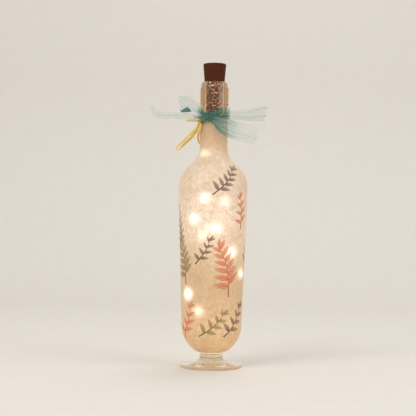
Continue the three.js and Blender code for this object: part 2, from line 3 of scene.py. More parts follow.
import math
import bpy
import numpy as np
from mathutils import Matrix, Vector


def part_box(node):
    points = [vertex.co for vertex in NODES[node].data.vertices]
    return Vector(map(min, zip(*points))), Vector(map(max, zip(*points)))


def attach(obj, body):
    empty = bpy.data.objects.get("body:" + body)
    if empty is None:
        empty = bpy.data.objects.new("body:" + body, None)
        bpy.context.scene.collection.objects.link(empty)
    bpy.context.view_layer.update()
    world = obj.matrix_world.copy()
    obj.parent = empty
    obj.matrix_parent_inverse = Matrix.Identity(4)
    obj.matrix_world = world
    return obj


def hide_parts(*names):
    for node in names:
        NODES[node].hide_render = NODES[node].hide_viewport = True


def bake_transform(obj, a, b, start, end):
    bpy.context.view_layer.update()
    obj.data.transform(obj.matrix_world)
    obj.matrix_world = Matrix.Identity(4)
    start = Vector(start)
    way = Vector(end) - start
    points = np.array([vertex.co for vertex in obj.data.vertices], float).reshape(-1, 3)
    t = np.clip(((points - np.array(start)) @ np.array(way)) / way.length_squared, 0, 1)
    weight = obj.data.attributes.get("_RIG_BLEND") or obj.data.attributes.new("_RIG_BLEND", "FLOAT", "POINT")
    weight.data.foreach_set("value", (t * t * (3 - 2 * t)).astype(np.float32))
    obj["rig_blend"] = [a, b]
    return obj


bl_info = {
    "name": "Bottle lamp",
    "version": (1, 0, 0),
    "blender": (4, 5, 0),
    "location": "View3D > Sidebar > Bottle lamp",
    "description": "Gives the frame of a bottle lamp its glass, paper, cork, ribbon and raffia",
    "category": "Object",
}

from bisect import bisect_right

import bmesh
import bpy
from bpy.props import FloatProperty, FloatVectorProperty, PointerProperty
from mathutils import Matrix, Vector, geometry, noise

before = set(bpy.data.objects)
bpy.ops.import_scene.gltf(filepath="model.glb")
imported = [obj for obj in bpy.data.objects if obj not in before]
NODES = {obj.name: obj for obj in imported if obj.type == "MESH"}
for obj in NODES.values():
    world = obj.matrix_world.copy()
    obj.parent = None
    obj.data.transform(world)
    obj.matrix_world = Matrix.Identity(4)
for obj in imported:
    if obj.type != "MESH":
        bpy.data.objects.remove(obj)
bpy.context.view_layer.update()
MM = 0.001
UP = Vector((0, 0, 1))

LIGHTS = sorted(name for name in NODES if name.startswith("light_"))
LIGHT_PLACES = [sum(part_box(name), Vector()) / 2 for name in LIGHTS]

# Values at each point of a mesh that materials read.
LIGHT_LAYERS = ("near_light", "wide_light", "pale_light")
PRINT_LAYERS = ("rim", "along", "across", "tint")
CLOTH_LAYERS = ("across", "along", "gather")
STRAND_LAYERS = ("along", "round")

# The neck's turn of ribbon, from which the bow and the raffia are measured, in millimetres.
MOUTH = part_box("glass_bottle")[1].z / MM
BOW = MOUTH - 36.1
BAND_INNER = 15.5
BAND_OUTER = 15.9
BAND_TILT = 4
KNOT_TURN = -116
KNOT_DROP = 1.2
KNOT_HALF_ALONG = 3.6
KNOT_HALF_OUT = 2.8
SEAT_GAP = 0.3
RAFFIA_TURN = -148
RAFFIA_KNOT_RADIUS = 1.8
RAFFIA_KNOT_DROP = 5.5

# Fine raised lines round the mouth's ring: radius, then below the mouth.
LIP_LINES = ((14.8, 7), (14.8, 9.4), (14.8, 23.4))

# Ribbon strips by rows: turn in degrees, then outside the band, above the bow and half width,
# then lean in degrees.
LOOP_RIGHT = (
    (-74, 6.2, 0, 3, 0),
    (-51, 12.3, -0.4, 4.4, 0),
    (-28, 24.6, 0, 6, 4),
    (-17, 36.2, 2.2, 7.2, 6),
    (-11.5, 39, 2.6, 7.4, 6),
    (-7.5, 32.3, 2.2, 6.6, 6),
    (-11.5, 18.6, 0.4, 4.6, 4),
    (-30, 7, 0, 4.2, 0),
    (-69, 3.2, -0.2, 3, 0),
)
LOOP_LEFT = (
    (-133, 11.5, 8.2, 5.5, 0),
    (-143, 18.9, 10.4, 8.2, -4),
    (-154, 23.6, 10.8, 8.5, -8),
    (-161, 21.5, 10.6, 8.5, -8),
    (-162.5, 15.4, 10, 8.2, -4),
    (-153, 7.4, 7.6, 5.6, 0),
)
TAIL_RIGHT = (
    (-82, 6.1, -7.5, 5, 0),
    (-69, 8.6, -11.5, 7.5, 4),
    (-55, 11.9, -14.5, 9, 10),
    (-40, 18, -17.5, 9, 14),
    (-28, 24.8, -19.5, 9, 16),
    (-20, 31.8, -22, 8.5, 16),
)
TAIL_LEFT = (
    (-142, 6.8, -2, 2.4, 8),
    (-149.5, 17, -1.6, 4, 36),
    (-156, 29.2, -1.3, 4.8, 48),
    (-163, 41, -0.8, 5, 48),
    (-167.5, 47, 3, 3.6, 40),
    (-169.5, 51.2, 9.4, 1.4, 30),
)

# Raffia strands by rows: turn in degrees, then outside the band and above the bow.
RAFFIA_LOOP = (
    (-151, 3.2, -10.6),
    (-154.9, 6.7, -15.8),
    (-160.4, 12.1, -21.2),
    (-164.7, 18.1, -28),
    (-168.2, 23.1, -32.5),
    (-168.8, 23.7, -33.9),
    (-169, 23, -35.3),
    (-169.1, 21.6, -35.9),
    (-169.1, 20.2, -35.3),
    (-169.1, 16.8, -31.3),
    (-166.8, 10.3, -24.9),
    (-162.2, 5, -18),
    (-160, 2.9, -12.4),
)
RAFFIA_END_LEFT = (
    (-155.5, 5.2, -5.4),
    (-163, 9.5, -5.3),
    (-169, 12, -5),
    (-176, 12.3, -4.6),
    (-186, 11, -4),
    (-197, 9, -3.5),
    (-210, 7, -3.1),
)
RAFFIA_END_DOWN = (
    (-139.5, 2.2, -10.4),
    (-147, 1.8, -14.6),
    (-158, 1.3, -18.4),
    (-171, 0.9, -21.6),
    (-186, 0.7, -24.6),
    (-204, 0.6, -27.2),
    (-222, 0.6, -29.4),
)

# How strongly each light shows through the paper: some face it, others lie behind a turn of wire.
LIGHT_SHARES = (
    0.4, 1, 1, 0.56, 0.27, 1, 1, 0.54, 1, 1, 0.2, 0.36, 1, 0.25, 0.62, 0.56, 1, 1.15, 0.44, 1,
)

# Printed sprigs by rows: ink, turn in degrees, height, lean in degrees, length, then pairs of leaves.
SPRIGS = (
    ("plum", -80, 190, 33, 36, 5),
    ("coral", -70, 92, -20, 52, 6),
    ("olive", -100, 44, 40, 36, 4),
    ("coral", -40, 156, -12, 34, 4),
    ("plum", -54, 46, 26, 38, 4),
    ("plum", -114, 118, 25, 30, 4),
    ("olive", -155, 102, -20, 46, 6),
    ("coral", -152, 44, 14, 36, 4),
    ("olive", -6, 118, 16, 52, 6),
    ("coral", 34, 60, -18, 46, 5),
    ("plum", 52, 146, 24, 48, 6),
    ("coral", 96, 104, -16, 54, 6),
    ("olive", 82, 44, 20, 40, 5),
    ("plum", 138, 64, -22, 46, 5),
    ("coral", 146, 154, 14, 46, 5),
    ("olive", 186, 132, -14, 48, 6),
)

# Studio lamps by rows: name, place, size, power and colour.
STUDIO_LAMPS = (
    ("key_light", (-1.1, -1.3, 1.5), 1.1, 17.0, (1.0, 0.97, 0.93)),
    ("fill_light", (1.4, -0.9, 0.9), 1.2, 9.0, (1.0, 0.98, 0.96)),
    ("back_light", (0.3, 0.6, 2.0), 0.9, 9.0, (1.0, 0.98, 0.95)),
)


def paint(red, green, blue):
    """A colour as a screen shows it, 0 to 255, in the linear numbers that shaders take."""
    shares = [level / 255 for level in (red, green, blue)]
    return tuple(s / 12.92 if s <= 0.04045 else ((s + 0.055) / 1.055) ** 2.4 for s in shares)


def colour(name, description, *levels):
    """A colour property of the lamp."""
    return FloatVectorProperty(
        name=name, description=description, default=paint(*levels), subtype="COLOR", min=0, max=1
    )


def length(name, description, millimetres):
    """A length property of the lamp, kept in metres."""
    return FloatProperty(name=name, description=description, default=millimetres * MM, unit="LENGTH", min=0)


class LampSizes(bpy.types.PropertyGroup):
    """Sizes of the lamp's dressing that a user would change."""

    crease: length("Paper crease", "How far the paper's creases stand out from the bottle", 0.24)
    foil_crumple: length("Foil crumple", "How deep the foil round the battery tube is crumpled", 0.32)
    ribbon_width: length("Ribbon width", "Width of the ribbon laid flat", 18.5)
    ribbon_cloth: length("Ribbon cloth", "Thickness of the ribbon's cloth", 0.12)
    raffia_width: length("Raffia width", "Width of a raffia strand", 2.7)
    raffia_depth: length("Raffia depth", "Thickness of a raffia strand", 1.5)
    wire: length("Light string wire", "Diameter of the light string's wire", 1)
    eye_distance: length("Eye distance", "From the camera to the bottle's axis", 1112)
    eye_height: length("Eye height", "Height of the camera above the floor", 144.4)
    aim_height: length("Aim height", "Height on the bottle's axis at the middle of the picture", 166.4)
    aim_aside: length("Aim aside", "How far left of the bottle the camera stands", 5.2)


class LampColours(bpy.types.PropertyGroup):
    """Colours of the lamp's materials."""

    # The paper turns from the first colour to the second with its mottle, and also with painted light that
    # is paler higher up the bottle.
    paper: colour("Paper", "Rice paper where it is thick", 186, 149, 108)
    paper_pale: colour("Paper, pale", "Rice paper where it is thin", 212, 186, 156)
    glow_warm: colour("Glow, warm", "Faint light that comes through the paper", 255, 206, 144)
    glow_pale: colour("Glow, pale", "Strong light that comes through the paper", 255, 240, 226)
    hot_spot: colour("Hot spot", "Paper right over a light", 255, 246, 228)
    coral: colour("Coral ink", "Coral sprigs printed on the paper", 216, 108, 74)
    olive: colour("Olive ink", "Olive sprigs printed on the paper", 136, 124, 66)
    plum: colour("Plum ink", "Plum sprigs printed on the paper", 98, 70, 66)
    glass: colour("Glass", "What the foot lets through where it is thick", 245, 237, 225)
    bottle_glass: colour("Bottle glass", "What the bottle lets through where it is thick", 215, 174, 127)
    cork: colour("Cork", "Stained cork granules", 74, 33, 10)
    cork_dark: colour("Cork, dark", "Pits between the cork granules", 44, 21, 11)
    foil: colour("Foil", "Copper foil round the battery tube", 152, 92, 44)
    ribbon: colour("Ribbon", "Sheer ribbon", 74, 134, 122)
    ribbon_deep: colour("Ribbon, deep", "Ribbon where it is drawn together", 82, 144, 136)
    raffia: colour("Raffia", "Dyed raffia strands", 238, 200, 96)
    floor: colour("Floor", "Floor and backdrop", 228, 224, 218)


class Value:
    """A shader socket that Python's operators work on, each adding one Math node."""

    def __init__(self, nodes, socket):
        self.nodes = nodes
        self.socket = socket

    def math(self, operation, *terms):
        return self.nodes.node("ShaderNodeMath", dict(enumerate(terms)), operation=operation)

    def __add__(self, other):
        return self.math("ADD", self, other)

    __radd__ = __add__

    def __sub__(self, other):
        return self.math("SUBTRACT", self, other)

    def __rsub__(self, other):
        return self.math("SUBTRACT", other, self)

    def __mul__(self, other):
        return self.math("MULTIPLY", self, other)

    def __abs__(self):
        return self.math("ABSOLUTE", self)

    def sine(self):
        return self.math("SINE", self)

    def most(self, other):
        return self.math("MAXIMUM", self, other)

    def rise(self, low, high, start=0.0, end=1.0):
        """Smoothly from start at low to end at high."""
        inputs = {"Value": self, "From Min": low, "From Max": high, "To Min": start, "To Max": end}
        return self.nodes.node("ShaderNodeMapRange", inputs, interpolation_type="SMOOTHSTEP")

    def spread(self, start, end):
        """From start to end over the values that noise mostly has."""
        return self.rise(0.3, 0.7, start, end)


class Nodes:
    """A node tree whose sockets are fed plain values or other nodes."""

    def __init__(self, owner):
        owner.use_nodes = True
        self.tree = owner.node_tree

    def feed(self, node, inputs):
        for name, value in inputs.items():
            socket = node.inputs[name]
            if isinstance(value, Value):
                self.tree.links.new(value.socket, socket)
            else:
                socket.default_value = (*value[:3], 1.0) if socket.type == "RGBA" else value

    def node(self, kind, inputs, output=0, **settings):
        made = self.tree.nodes.new(kind)
        for name, value in settings.items():
            setattr(made, name, value)
        self.feed(made, inputs)
        return Value(self, made.outputs[output])

    def ray(self, name):
        """1 for rays of a kind and 0 for others."""
        return self.node("ShaderNodeLightPath", {}, name)

    def mixed_shader(self, factor, first, second):
        return self.node("ShaderNodeMixShader", {0: factor, 1: first, 2: second})


class Shade(Nodes):
    """The nodes of one material, behind its Principled shader."""

    def __init__(self, name):
        self.material = bpy.data.materials.new(name)
        super().__init__(self.material)
        self.surface = self.tree.nodes["Principled BSDF"]
        self.output = self.tree.nodes["Material Output"]

    def place(self):
        return self.node("ShaderNodeTexCoord", {}, "Object")

    def stretched(self, scale):
        """Object coordinates stretched by a scale of their own in X, Y and Z."""
        return self.node("ShaderNodeMapping", {"Vector": self.place(), "Scale": scale})

    def attributes(self, *names):
        return [self.node("ShaderNodeAttribute", {}, "Fac", attribute_name=name) for name in names]

    def joined(self, x, y):
        return self.node("ShaderNodeCombineXYZ", {"X": x, "Y": y})

    def noise(self, place, scale, detail=2.0, rough=0.5, distortion=0.0):
        """Noise with about scale waves to one unit of place."""
        inputs = dict(Vector=place, Scale=scale, Detail=detail, Roughness=rough, Distortion=distortion)
        return self.node("ShaderNodeTexNoise", inputs, "Fac")

    def cell_tone(self, place, scale):
        """A value of its own for each cell."""
        shown = self.node("ShaderNodeTexVoronoi", {"Vector": place, "Scale": scale}, "Color")
        return self.node("ShaderNodeSeparateColor", {"Color": shown})

    def cell_edge(self, place, scale):
        """How far it is to the edge of a cell."""
        inputs = {"Vector": place, "Scale": scale}
        return self.node("ShaderNodeTexVoronoi", inputs, "Distance", feature="DISTANCE_TO_EDGE")

    def threads(self, place, scale, width, distortion=1.4):
        """Long fine fibres: the lines where a bent noise passes its middle value."""
        bent = self.noise(place, scale, 1.0, 0.5, distortion)
        return 1 - abs(bent - 0.5).rise(0.0, width)

    def ramp(self, factor, *stops):
        made = self.node("ShaderNodeValToRGB", {"Fac": factor})
        elements = made.socket.node.color_ramp.elements
        while len(elements) < len(stops):
            elements.new(1.0)
        for element, (place, shown) in zip(elements, stops):
            element.position = place
            element.color = (*shown[:3], 1.0)
        return made

    def mix(self, factor, first, second, blend="MIX", limit=True):
        inputs = {0: factor, 6: first, 7: second}
        return self.node("ShaderNodeMix", inputs, 2, data_type="RGBA", blend_type=blend, clamp_factor=limit)

    def scaled(self, shown, factor):
        return self.node("ShaderNodeVectorMath", {0: shown, "Scale": factor}, operation="SCALE")

    def summed(self, first, second):
        return self.node("ShaderNodeVectorMath", {0: first, 1: second}, operation="ADD")

    def bump(self, height, depth, strength=1.0):
        """Relief of a real depth in metres."""
        return self.node("ShaderNodeBump", {"Height": height, "Distance": depth, "Strength": strength})

    def done(self, sockets):
        self.feed(self.surface, sockets)
        return self.material


def toned(shown, times, plus=0.0):
    """A colour made darker or paler."""
    return tuple(min(1.0, c * times + plus) for c in shown)


def lamp_light(shade, colours, thin):
    """What comes through the paper: a spot over each light and a wide glow, less where it is thick."""
    glow_strength, spot_strength = 0.083, 2.1
    near, wide, pale = shade.attributes(*LIGHT_LAYERS)
    glow = shade.mix(pale, colours.glow_warm, colours.glow_pale, limit=False)
    warm = shade.scaled(glow, wide * glow_strength * thin)
    spot = shade.scaled(colours.hot_spot, near * spot_strength * (0.5 + thin * 0.5))
    return shade.summed(warm, spot)


def rice_paper(colours):
    """Fibrous paper, mottled by its paste, with light from inside painted on as emission and its colour
    painted paler where that light is pale.
    """
    shade = Shade("rice_paper")
    place = shade.place()
    cloud = shade.noise(place, 46, 3.0, 0.55)
    mottle = shade.noise(place, 260, 5.0, 0.7)
    long_fibre = shade.threads(place, 95, 0.018)
    fibre = long_fibre.most(shade.threads(shade.stretched((1.0, 1.0, 0.6)), 190, 0.024) * 0.7)
    strand = shade.threads(place, 52, 0.04, 2.0)
    crinkle = 1 - shade.cell_edge(shade.stretched((1.0, 1.0, 0.7)), 240).rise(0.0, 0.12)
    tone = cloud.rise(0.3, 0.7) * 0.4 + mottle.rise(0.34, 0.68) * 0.6
    # Painted light: besides its mottle, the paper's colour turns paler with pale_light, which rises higher
    # up the bottle.
    pasted = tone * 0.55 + shade.attributes("pale_light")[0] * 0.45
    sheet = shade.mix(pasted, colours.paper, colours.paper_pale)
    pale = shade.mix((fibre * 0.4).most(strand * 0.5), sheet, colours.paper_pale)
    thin = (0.73 + tone * 0.48) * (1 - fibre * 0.32) * (1 - crinkle * 0.22) * (1 - strand * 0.42)
    relief = fibre * 0.4 + mottle * 0.35 + crinkle * 0.25
    return shade.done({
        "Base Color": pale,
        "Roughness": mottle.spread(0.52, 0.72),
        "Normal": shade.bump(relief, 0.28 * MM),
        "Emission Color": lamp_light(shade, colours, thin),
        "Emission Strength": 1.0,
        "Coat Weight": 0.3,
        "Coat Roughness": 0.3,
    })


def printed_ink(name, ink, colours):
    """Watercolour printed on thin paper and pasted down, so the lights show through it."""
    shade = Shade(name)
    place = shade.place()
    rim, along, across, tint = shade.attributes(*PRINT_LAYERS)
    wash = shade.noise(place, 240, 4.0, 0.65)
    fibre = shade.threads(place, 95, 0.02)
    side = abs(across)
    vein = (along * 44.0 - side * 9.0).sine().rise(0.86, 0.98) * 0.6
    midrib = 1 - side.rise(0.05, 0.13)
    deep = toned(ink, 0.34)
    pale = tuple(lerp(c, p, 0.55) for c, p in zip(ink, colours.paper_pale))
    body = shade.mix(along.rise(0.0, 0.9) * 0.6 + tint * 0.4, ink, pale)
    washed = shade.mix(wash.rise(0.35, 0.75) * 0.5, body, pale)
    lined = shade.mix(midrib.most(vein) * 0.7, washed, deep)
    edged = shade.mix(rim.rise(0.72, 0.92) * 0.7, lined, deep)
    return shade.done({
        "Base Color": edged,
        "Roughness": wash.spread(0.5, 0.7),
        "Normal": shade.bump(fibre * 0.5 + wash * 0.5, 0.2 * MM),
        "Alpha": (1 - rim.rise(0.94, 1.0)) * wash.rise(0.2, 0.55, 0.62, 0.92),
        "Emission Color": shade.mix(1.0, lamp_light(shade, colours, 0.85 - fibre * 0.2), edged, "MULTIPLY"),
        "Emission Strength": 1.0,
    })


def clear_glass(name, tint):
    """Glass that takes its tint over a depth, and lets the lamps through to what lies behind it."""
    tint_depth, darkest, faintest = 16 * MM, 0.001, 0.001
    shade = Shade(name)
    smear = shade.noise(shade.place(), 60, 3.0, 0.6)
    shade.done({
        "Base Color": paint(253, 251, 247),
        "Roughness": smear.rise(0.4, 0.8, 0.01, 0.06),
        "Transmission Weight": 1.0,
        "IOR": 1.5,
    })
    body = Value(shade, shade.surface.outputs[0])
    warm, clear = paint(252, 243, 228), paint(255, 255, 255)
    for ray, tone in (("Is Shadow Ray", warm), ("Is Diffuse Ray", warm), ("Is Reflection Ray", clear)):
        through = shade.node("ShaderNodeBsdfTransparent", {"Color": tone})
        body = shade.mixed_shader(shade.ray(ray), body, through)
    taken = [-math.log(max(share, darkest)) / tint_depth for share in tint]
    density = max(faintest, *taken)
    kept = tuple(1 - part / density for part in taken)
    inside = shade.node("ShaderNodeVolumeAbsorption", {"Color": kept, "Density": density})
    shade.feed(shade.output, {"Surface": body, "Volume": inside})
    return shade.material


def pressed_cork(colours):
    """Stained granules pressed together, with dark pits between them."""
    shade = Shade("pressed_cork")
    place = shade.place()
    granules = 520
    patch = shade.noise(place, 500, 2.0)
    edge = shade.cell_edge(place, granules)
    pit = 1 - edge.rise(0.02, 0.14)
    fleck = shade.noise(place, 1500, 3.0, 0.7)
    tone = shade.cell_tone(place, granules) * 0.5 + fleck * 0.3
    body = shade.mix(tone, colours.cork, toned(colours.cork, 1.45))
    dark = (pit * patch.rise(0.35, 0.65) * 0.7).most(fleck.rise(0.62, 0.75) * 0.6)
    return shade.done({
        "Base Color": shade.mix(dark, body, colours.cork_dark),
        "Roughness": fleck.spread(0.7, 0.92),
        "Specular IOR Level": 0.2,
        "Normal": shade.bump(edge.rise(0.0, 0.2) * 0.6 + fleck * 0.4, 0.3 * MM),
    })


def crumpled_foil(colours):
    """Copper foil whose small facets are darker or paler at random; the palest are painted glints, more of
    them near the cork.
    """
    shade = Shade("crumpled_foil")
    place = shade.place()
    facets, glint_height_low, glint_height_high = 900, 281 * MM, 297 * MM
    facet = shade.cell_tone(place, facets)
    fold = shade.cell_edge(place, facets)
    tarnish_and_glint = shade.noise(place, 210, 2.0, 0.5).rise(0.34, 0.66)
    height = shade.node("ShaderNodeSeparateXYZ", {"Vector": place}, "Z")
    # Painted highlights: facets that reach the pale colour stand for glints, more of them near the cork and
    # where the broad noise is high.
    tone = facet * 0.8 + tarnish_and_glint * 0.2 + height.rise(glint_height_low, glint_height_high) * 0.14 - 0.03
    dark, pale = toned(colours.foil, 0.2), toned(colours.foil, 0.7, 0.7)
    return shade.done({
        "Base Color": shade.ramp(tone, (0.32, dark), (0.64, colours.foil), (0.88, pale)),
        "Metallic": 0.75,
        "Roughness": tone.spread(0.5, 0.22),
        "Normal": shade.bump(fold.rise(0.0, 0.3) * 0.5 + facet * 0.5, 0.6 * MM),
    })


def organza(colours, width):
    """Sheer cloth: two sets of fine threads, closer where it is drawn together and doubled at its hems."""
    shade = Shade("organza")
    across, along, gather = shade.attributes(*CLOTH_LAYERS)
    threads = 2 * math.pi / (0.55 * MM)
    warp = (across * (width / 2) * threads).sine()
    weft = (along * threads).sine()
    weave = warp.most(weft) * 0.5 + 0.5
    line = shade.noise(shade.joined(across * 7.0, along * 30.0), 1.0, 3.0, 0.6)
    hem = abs(across).rise(0.92, 0.96)
    streak = shade.noise(shade.joined(across * 3.4, along * 9.0), 1.0, 2.0, 0.5)
    thin = 0.02 + weave * 0.03 + line.rise(0.5, 0.75) * 0.06 + streak.rise(0.54, 0.7) * 0.12
    dense = gather * line.spread(0.4, 1.0)
    cloth = shade.mix(line.rise(0.35, 0.7), toned(colours.ribbon, 1.5, 0.04), colours.ribbon)
    drawn = shade.mix(dense.rise(0.45, 1.0), cloth, colours.ribbon_deep)
    return shade.done({
        # Where the cloth is densest, at the knot, the folded corner and the folded-under edge, it is painted
        # darker still: partly its doubled layers, partly painted shade in the folds.
        "Base Color": shade.mix(dense.rise(0.9, 1.5), drawn, toned(colours.ribbon_deep, 0.45)),
        "Roughness": line.spread(0.4, 0.6),
        "Alpha": thin + hem * 0.09 + dense * 0.55,
        "Normal": shade.bump(weave, 0.06 * MM, 0.5),
        "Subsurface Weight": 0.8,
        "Subsurface Radius": (1.0, 1.0, 1.0),
        "Subsurface Scale": 0.6 * MM,
        "Sheen Weight": 0.15,
        "Sheen Roughness": 0.4,
    })


def dyed_raffia(colours):
    """A dried palm strip with fibres along it."""
    shade = Shade("dyed_raffia")
    along, turn = shade.attributes(*STRAND_LAYERS)
    streak = shade.noise(shade.joined(along * 60.0, turn * 16.0), 1.0, 3.0, 0.6)
    dark, pale = toned(colours.raffia, 0.55), toned(colours.raffia, 1.3, 0.03)
    return shade.done({
        "Base Color": shade.ramp(streak, (0.3, dark), (0.5, colours.raffia), (0.7, pale)),
        "Roughness": streak.spread(0.42, 0.62),
        "Normal": shade.bump(streak, 0.12 * MM),
    })


def moulded_plastic(name, shown):
    """Plastic with a fine grain and scuffs."""
    shade = Shade(name)
    grain = shade.noise(shade.place(), 2600, 2.0, 0.6)
    scuff = shade.noise(shade.place(), 300, 3.0, 0.7)
    return shade.done({
        "Base Color": shade.mix(scuff.rise(0.5, 0.75) * 0.6, shown, toned(shown, 1.5, 0.015)),
        "Roughness": scuff.spread(0.42, 0.58),
        "Normal": shade.bump(grain, 0.06 * MM),
    })


def drawn_metal(name, shown, stretch, base_rough):
    """Rolled or drawn metal with fine lines along it."""
    shade = Shade(name)
    line = shade.noise(shade.stretched(stretch), 900, 3.0, 0.6)
    stain = shade.noise(shade.place(), 260, 2.0)
    return shade.done({
        "Base Color": shade.mix(stain.rise(0.4, 0.7) * 0.6, shown, toned(shown, 0.72)),
        "Metallic": 1.0,
        "Roughness": line.spread(base_rough, base_rough + 0.16),
        "Normal": shade.bump(line, 0.03 * MM, 0.6),
    })


def board_lacquer():
    """Green lacquer over copper tracks."""
    shade = Shade("board_lacquer")
    place = shade.place()
    inputs = {"Vector": place, "Scale": 300.0, "Mortar Size": 0.06, "Mortar Smooth": 0.2}
    track = shade.node("ShaderNodeTexBrick", inputs, "Fac")
    mottle = shade.noise(place, 900, 2.0)
    green = shade.mix(track, paint(32, 92, 58), paint(58, 128, 78))
    return shade.done({
        "Base Color": shade.mix(mottle * 0.25, green, paint(24, 70, 46)),
        "Roughness": mottle.spread(0.3, 0.45),
        "Normal": shade.bump(track, 0.08 * MM),
    })


def gland_rubber():
    """Dusty black rubber."""
    shade = Shade("gland_rubber")
    dust = shade.noise(shade.place(), 700, 3.0, 0.7)
    return shade.done({
        "Base Color": shade.mix(dust.rise(0.5, 0.8), paint(48, 44, 41), paint(84, 78, 72)),
        "Roughness": dust.spread(0.75, 0.92),
        "Normal": shade.bump(dust, 0.1 * MM),
    })


def lamp_resin():
    """Clear drops over the lights, warm and bright."""
    shade = Shade("lamp_resin")
    cloud = shade.noise(shade.place(), 800, 2.0)
    return shade.done({
        "Base Color": shade.mix(cloud, paint(255, 244, 220), paint(255, 226, 178)),
        "Roughness": cloud.spread(0.12, 0.25),
        "Emission Color": shade.mix(cloud, paint(255, 240, 210), paint(255, 222, 168)),
        "Emission Strength": 4.0,
    })


def studio_grey(colours):
    """Pale paper with a faint tooth, for the floor and the backdrop."""
    shade = Shade("studio_paper")
    tooth = shade.noise(shade.place(), 40, 3.0)
    return shade.done({
        "Base Color": shade.mix(tooth, colours.floor, toned(colours.floor, 0.96)),
        "Roughness": tooth.spread(0.75, 0.85),
    })


def soft_room(colours):
    """A world of even light, which camera, glass and metal see in the floor's colour."""
    world = bpy.data.worlds.new("soft_room")
    room = Nodes(world)
    even = room.tree.nodes["Background"]
    room.feed(even, {"Color": (1.0, 0.98, 0.95), "Strength": 0.55})
    backdrop = room.node("ShaderNodeBackground", {"Color": colours.floor})
    seen = room.ray("Is Camera Ray").most(room.ray("Is Glossy Ray")).most(room.ray("Is Transmission Ray"))
    shown = room.mixed_shader(seen, Value(room, even.outputs[0]), backdrop)
    room.feed(room.tree.nodes["World Output"], {"Surface": shown})
    return world


def polar(turn, radius, height):
    """A point by its turn in degrees, its radius and its height."""
    angle = math.radians(turn)
    return Vector((radius * math.cos(angle), radius * math.sin(angle), height))


def level(point):
    """The way out to a point from the bottle's axis."""
    return Vector((point.x, point.y, 0))


def smooth(low, high, value):
    """0 up to low, 1 from high on, and smoothly between."""
    share = min(max((value - low) / (high - low), 0.0), 1.0)
    return share * share * (3 - 2 * share)


def lerp(start, end, share):
    """A share of the way from start to end."""
    return start + (end - start) * share


def bell(value):
    """1 at 0, and falling to nothing on both sides."""
    return math.exp(-(value**2))


def way(start, end):
    """The way between two rows' places, which are their first three values."""
    return Vector(end[:3]) - Vector(start[:3])


def between(before, first, second, after, share):
    """A point of the centripetal curve from first to second, in as many values as the rows have."""
    knots = [0.0]
    for start, end in ((before, first), (first, second), (second, after)):
        knots.append(knots[-1] + max(way(start, end).length, 1e-9) ** 0.5)
    at = lerp(knots[1], knots[2], share)

    def mixed(start, end, low, high):
        span = knots[high] - knots[low]
        return start * ((knots[high] - at) / span) + end * ((at - knots[low]) / span)

    ways = (mixed(before, first, 0, 1), mixed(first, second, 1, 2), mixed(second, after, 2, 3))
    return mixed(mixed(ways[0], ways[1], 0, 2), mixed(ways[1], ways[2], 1, 3), 1, 2)


def run_lengths(points):
    """How far along its path each point is."""
    lengths = [0.0]
    for start, end in zip(points, points[1:]):
        lengths.append(lengths[-1] + way(start, end).length)
    return lengths


def held_in(values, value):
    """Which gap of rising values a value lies in, and its share of that gap."""
    i = min(max(bisect_right(values, value) - 1, 0), len(values) - 2)
    return i, (value - values[i]) / (values[i + 1] - values[i])


def flow(rows, steps, fine=12):
    """Evenly spaced points of one smooth curve through rows."""
    ends = [rows[0] * 2 - rows[1], *rows, rows[-1] * 2 - rows[-2]]
    points = []
    for four in zip(ends, ends[1:], ends[2:], ends[3:]):
        points += [between(*four, step / fine) for step in range(fine)]
    points.append(rows[-1])
    lengths = run_lengths(points)
    even = []
    for step in range(steps + 1):
        i, share = held_in(lengths, lengths[-1] * step / steps)
        even.append(lerp(points[i], points[i + 1], share))
    return even


def tangents(points):
    """The direction of a path at each of its points."""
    ends = [points[0], *points, points[-1]]
    return [way(a, b).normalized() for a, b in zip(ends, ends[2:])]


def layers(mesh, *names):
    """The layers of a mesh by their names."""
    return [mesh.verts.layers.float[name] for name in names]


def new_mesh(*names):
    """An empty mesh and the layers of it that its material reads."""
    mesh = bmesh.new()
    for name in names:
        mesh.verts.layers.float.new(name)
    return mesh, layers(mesh, *names)


def mark(vert, spots, values):
    """Writes a point's values in its layers."""
    for spot, value in zip(spots, values):
        vert[spot] = value


def grid(mesh, along, across):
    """The points of a new flat grid, from -1 to 1 both ways."""
    return bmesh.ops.create_grid(mesh, x_segments=along, y_segments=across, size=1)["verts"]


def weld(mesh):
    """Joins points that lie in one place."""
    bmesh.ops.remove_doubles(mesh, verts=mesh.verts, dist=2e-6)


def face_out(mesh):
    """Turns all faces outward."""
    bmesh.ops.recalc_face_normals(mesh, faces=mesh.faces)


def added(name, data):
    """A new object in the scene."""
    made = bpy.data.objects.new(name, data)
    bpy.context.scene.collection.objects.link(made)
    return made


def solid(mesh, name, material):
    """A new object with smooth shading from a finished mesh."""
    data = bpy.data.meshes.new(name)
    mesh.to_mesh(data)
    mesh.free()
    data.shade_smooth()
    data.materials.append(material)
    return added(name, data)


def piece(mesh, name, material, body, replaced=(), sharp=35):
    """A finished piece of the lamp that rides on a body, or on none yet."""
    made = solid(mesh, name, material)
    made.data.set_sharp_from_angle(angle=math.radians(sharp))
    if body:
        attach(made, body)
    if replaced:
        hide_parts(*replaced)
    return made


def dress(node, material):
    """Gives a frame node its material."""
    materials = NODES[node].data.materials
    materials.clear()
    materials.append(material)


def section_of(node):
    """The points [radius, height] of a turned node's section, in order, and whether it closes on itself."""
    mesh = bmesh.new()
    mesh.from_mesh(NODES[node].data)
    weld(mesh)
    flat = 2e-6
    edges = [e for e in mesh.edges if all(abs(v.co.y) < flat and v.co.x > -flat for v in e.verts)]
    joined = {}
    for edge in edges:
        for vert in edge.verts:
            joined.setdefault(vert, []).append(edge.other_vert(vert))
    ends = sorted((v for v in joined if len(joined[v]) == 1), key=lambda v: v.co.z)
    walk = [ends[0] if ends else max(joined, key=lambda v: v.co.x)]
    while True:
        onward = [v for v in joined[walk[-1]] if v not in walk]
        if not onward:
            break
        walk.append(onward[0])
    section = [Vector((max(v.co.x, 0.0), v.co.z)) for v in walk]
    mesh.free()
    return section, not ends


